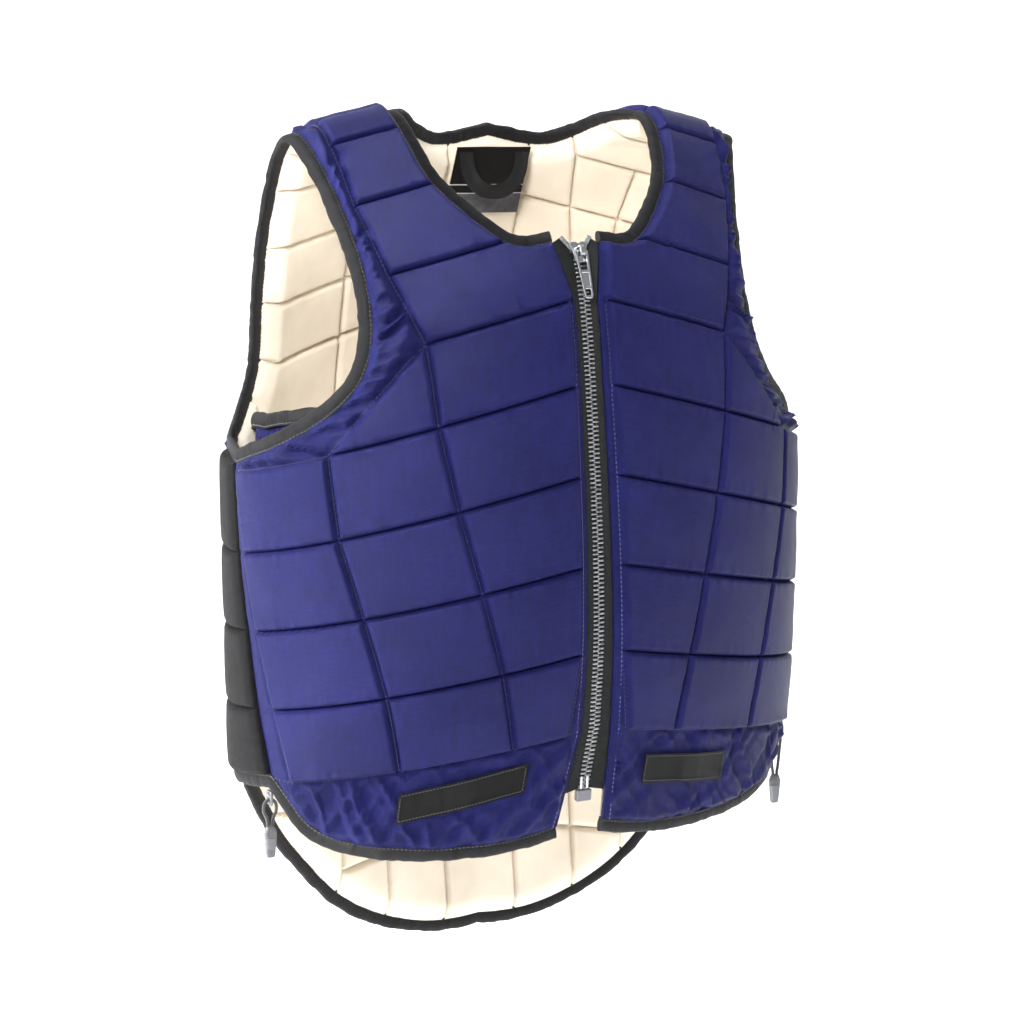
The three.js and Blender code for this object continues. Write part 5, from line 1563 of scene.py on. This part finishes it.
NECK_ZONES = [(0.56, 0), (0.575, 2), (0.69, 0), (0.705, 2), (1.01, 1)]  # lower end, material
drops = np.array([0, 0.1, 0.2, 0.3, 0.4, 0.5, 0.56, 0.575, 0.62, 0.69, 0.705, 0.8, 0.9, 1.0])
across, drop = np.meshgrid(np.linspace(-0.5, 0.5, 22) * NECK_LABEL_WIDTH,
                           drops * NECK_LABEL_HEIGHT - NECK_LABEL_RISE)
lift = 1.7 * MM + 0.3 * MM * wave(across + 0.6 * drop, 16 * MM, 4)
label = slab("neck_label_cloth", neck_inside(across, drop, lift), -neck_normal, LABEL_CLOTH, LABEL)
for material in (LABEL_GREY, LABEL_WHITE):
    label.data.materials.append(material)
for polygon in label.data.polygons:
    along = float(np.dot(np.array(polygon.center) - neck_inside(0, 0, 0), neck_slope)) + NECK_LABEL_RISE
    share = along / NECK_LABEL_HEIGHT
    polygon.material_index = next(index for end, index in NECK_ZONES if share < end)
place(label, "vest", "label", "neck_label")

LOOP_WIDTH = 10 * MM
LOOP_SPAN = 42 * MM
LOOP_DROP = 32 * MM
LOOP_SQUARENESS = 0.8
LOOP_RISE = 5 * MM
turn = np.linspace(0, math.pi, 60)
across, fall = -np.cos(turn), np.sin(turn) ** LOOP_SQUARENESS
share = np.linspace(0, 1, 8)[None]
span = LOOP_SPAN / 2 - LOOP_WIDTH / 2 + share * LOOP_WIDTH
drop = LOOP_DROP - LOOP_WIDTH + share * LOOP_WIDTH
grid = neck_inside(across[:, None] * span, 0 * span + 0 * across[:, None] - LOOP_RISE, 3.0 * MM)
grid = grid - UP * (fall[:, None] * drop)[..., None]
curl = 0.4 * MM * np.cos(math.pi * share[0] * 2) + 0.3 * MM * wave(turn[:, None] * 20 * MM, 14 * MM, 6)
backward = np.array([0.0, 1.0, 0.0])
grid = grid + backward * (curl - 0.7 * MM)[..., None]
place(slab("loop_strap", grid, -backward, 1.3 * MM, BLACK), "vest", "black", "hang_loop")

# Underarm wings: gathered cloth from the back, inside the front under each arm.
WING = [
    # angle, level, inset
    (54, 5.46, 1.02),
    (62, 5.5, 1),
    (70, 5.52, 1),
    (78, 5.53, 1),
    (86, 5.52, 0.98),
    (96, 5.5, 0.9),
    (105, 5.45, 0.76),
    (112, 5.36, 0.64),
    (118, 5.24, 0.52),
    (124, 5.2, 0.36),
]
WING_DEPTH = 0.75
WING_INSET = 24 * MM
WING_THICKNESS = 3 * MM
WING_CLOTH = 1.4 * MM
for word, side in SIDES:
    angle = np.linspace(WING[0][0], WING[-1][0], 90)
    level, share_in = (np.interp(angle, *np.array(WING).T[[0, k]]) for k in (1, 2))
    level, share_in = smoothed(level, 6, False), smoothed(share_in, 6, False)
    normal = body_normal(side * angle, level)
    down = np.linspace(0, 1, 22)[None]
    lift = -WING_INSET * share_in - WING_THICKNESS
    grid = body_offset((side * angle)[:, None] + 0 * down, level[:, None] - WING_DEPTH * down, 0.0)
    run = (angle * DEGREE)[:, None] + 9 * MM * down
    crease = 0.9 * MM * (ridges(run, 7 * MM, 40 + side) + 0.5 * wave(run, 3.4 * MM, 44))
    crease = crease * smooth_step(down, 0, 0.2)
    grid = grid + normal[:, None] * (lift[:, None] + 1 * MM + crease)[..., None]
    piece = slab(f"wing_cloth_{word}", grid, normal[:, None], WING_CLOTH, NAVY)
    place(piece, "vest", "navy", f"underarm_wing_{word}")
    top, below = (body_offset(side * angle, level - part, lift) for part in (0, WING_DEPTH))
    bind(f"wing_edge_{word}", top + normal * WING_THICKNESS / 2, unit(top - below), normal,
         f"wing_binding_{word}")
binding_thread.piece("binding_stitching", BLACK_THREAD, "black")

# Side cords: each is doubled through an eyelet plate at the lower side corner and ends in a cord end.
CORD_DIAMETER = 2.2 * MM
CORD_DROPS = {"right": 15, "left": 28}
CORD_ROUTE = [
    # across, rise, counted from the entry in the cord end
    (1.6, 0, True),
    (1.8, 2.6, True),
    (2.4, 5.6, True),
    (4.1, -6, False),
    (4.4, -4, False),
    (4.4, -2, False),
    (3.8, 0.2, False),
    (2.4, 1.8, False),
    (0, 2.6, False),
]
RING_ANGLE = 74.5
RING_LEVEL = 1.05
EYELET_RADIUS = 5 * MM
EYELET_BAR = 2.2 * MM
CORD_END_LENGTH = 21 * MM
CORD_END_WIDTH = 8.6 * MM
CORD_END_THICKNESS = 5 * MM
END_SHARES = [
    # down, width, depth
    (0, 0.6, 0.62), (0.03, 0.7, 0.8), (0.1, 0.84, 0.94), (0.2, 1, 1), (0.33, 0.98, 1), (0.345, 0.9, 0.9),
    (0.36, 0.97, 1), (0.6, 0.86, 0.96), (0.8, 0.77, 0.88), (0.93, 0.71, 0.8), (0.985, 0.62, 0.68),
    (1, 0.5, 0.5),
]
GREY_START, GREY_ENDS = 0.36, {"right": 0.72, "left": 0.9}  # the grey stretch of a cord end
DEPTHWAYS = np.array([0.0, 1.0, 0.0])
for word, side in SIDES:
    hang = body_offset(side * RING_ANGLE, RING_LEVEL, -EDGE_MIDDLE)
    centre = hang - UP * (BINDING_WIDTH + EYELET_RADIUS)
    bar = centre - UP * (EYELET_RADIUS - EYELET_BAR / 2)
    drop = CORD_DROPS[word]
    climb = [(across, rise - drop if entry else rise) for across, rise, entry in CORD_ROUTE]
    corners = np.array([(-across, up) for across, up in climb[:-1]] + climb[::-1]) * MM
    ends = np.concatenate([[2 * corners[0] - corners[1]], corners, [2 * corners[-1] - corners[-2]]])
    steps = np.linspace(0, 1, 9)[:-1, None]
    flat = np.concatenate([spline(*ends[k:k + 4], steps) for k in range(len(corners) - 1)] + [corners[-1:]])
    route = bar + flat[:, :1] * ACROSS + flat[:, 1:] * UP
    ahead = unit(np.gradient(route, axis=0))
    turn = np.radians(np.arange(0, 360, 24))
    section = CORD_DIAMETER / 2 * np.stack([np.cos(turn), np.sin(turn)], axis=1)
    beside = np.cross(ahead, DEPTHWAYS)
    cord = sweep(f"lace_cord_{word}", route, np.broadcast_to(DEPTHWAYS, route.shape), beside, section, BRAID)
    top = bar - UP * (drop * MM + CLEARANCE)
    down = np.array(END_SHARES)
    fine = np.sort(np.concatenate([np.linspace(0, 1, 36), down[:, 0]]))
    wide, deep = (np.interp(fine, down[:, 0], down[:, k]) for k in (1, 2))
    turn = np.radians(np.arange(0, 360, 12))
    square = (np.abs(np.cos(turn)) ** 3 + np.abs(np.sin(turn)) ** 3) ** (-1 / 3)
    ring = np.stack([np.cos(turn) * square, np.sin(turn) * square], axis=1)
    size = np.stack([wide * CORD_END_WIDTH / 2, deep * CORD_END_THICKNESS / 2], axis=1)
    rings = ring[None] * size[:, None]
    centres = top - UP * (fine * CORD_END_LENGTH)[:, None]
    end = sweep(f"cord_grip_{word}", centres, np.broadcast_to(ACROSS, centres.shape),
                np.broadcast_to(DEPTHWAYS, centres.shape), rings, PLASTIC)
    end.data.materials.append(GREY)
    for polygon in end.data.polygons:
        share = (top[2] - polygon.center[2]) / CORD_END_LENGTH
        polygon.material_index = int(GREY_START < share < GREY_ENDS[word])
    place(cord, "vest", "black", f"side_cord_{word}")
    place(end, "vest", "cord_end", f"cord_end_{word}")
    length = float(line_run(route)[-1])
    outline = rounded([(-4.1, -5), (4.1, -5), (4.4, 5), (-4.4, 5)], 2.6, 6) * MM
    holes = [circle(0, 2.5, 1.3) * MM, circle(0, -1.3, 1.5) * MM]
    eyelet = plate(f"eyelet_plate_{word}", outline, holes, 1.8 * MM, 0.4 * MM, centre - ACROSS * 0.9 * MM,
                   [DEPTHWAYS, UP, ACROSS], GREY)
    place(eyelet, "vest", "metal", f"lace_ring_{word}")


# Stage: a pale floor and soft studio light.
FLOOR_LEVEL = -0.95
FLOOR_REACH = 14.0
BACKDROP = [(-14, 0), (3, 0), (4.2, 0.25), (5, 1), (5.3, 2.2), (5.4, 9)]  # depth and rise


def stage():
    shader = Shader("floor", Roughness=0.9, Specular_IOR_Level=0.1, Emission_Strength=0.62)
    shader.main.inputs["Base Color"].default_value = (0.92, 0.92, 0.92, 1.0)
    shader.main.inputs["Emission Color"].default_value = (1.0, 1.0, 1.0, 1.0)
    points = [(x, depth, FLOOR_LEVEL + rise)
              for depth, rise in BACKDROP for x in (-FLOOR_REACH, FLOOR_REACH)]
    floor = mesh_object("floor", points, grid_faces(len(BACKDROP), 2), shader.material)
    world = bpy.data.worlds.new("studio")
    world.use_nodes = True
    background = world.node_tree.nodes["Background"].inputs
    background["Color"].default_value = (1.0, 1.0, 1.0, 1.0)
    background["Strength"].default_value = 0.3
    bpy.context.scene.world = world
    bpy.context.scene.view_settings.view_transform = "Standard"


def area_light(name, place_at, aim, size, power):
    data = bpy.data.lights.new(name, "AREA")
    data.shape = "RECTANGLE"
    data.size, data.size_y = size
    data.energy = power
    light = bpy.data.objects.new(name, data)
    light.location = place_at
    light.rotation_euler = (Vector(aim) - Vector(place_at)).to_track_quat("-Z", "Y").to_euler()
    bpy.context.scene.collection.objects.link(light)


stage()
area_light("key", (-1.6, -1.9, 1.2), (0, 0, -0.25), (0.7, 1.0), 84)
area_light("fill", (1.7, -1.9, 0.3), (0, 0, -0.25), (1.2, 1.6), 5)
area_light("rim_left", (-2.0, 0.5, 0.3), (0, 0, -0.25), (0.9, 1.6), 150)
area_light("top", (0.1, -0.3, 1.9), (0, 0, -0.2), (1.2, 1.2), 36)
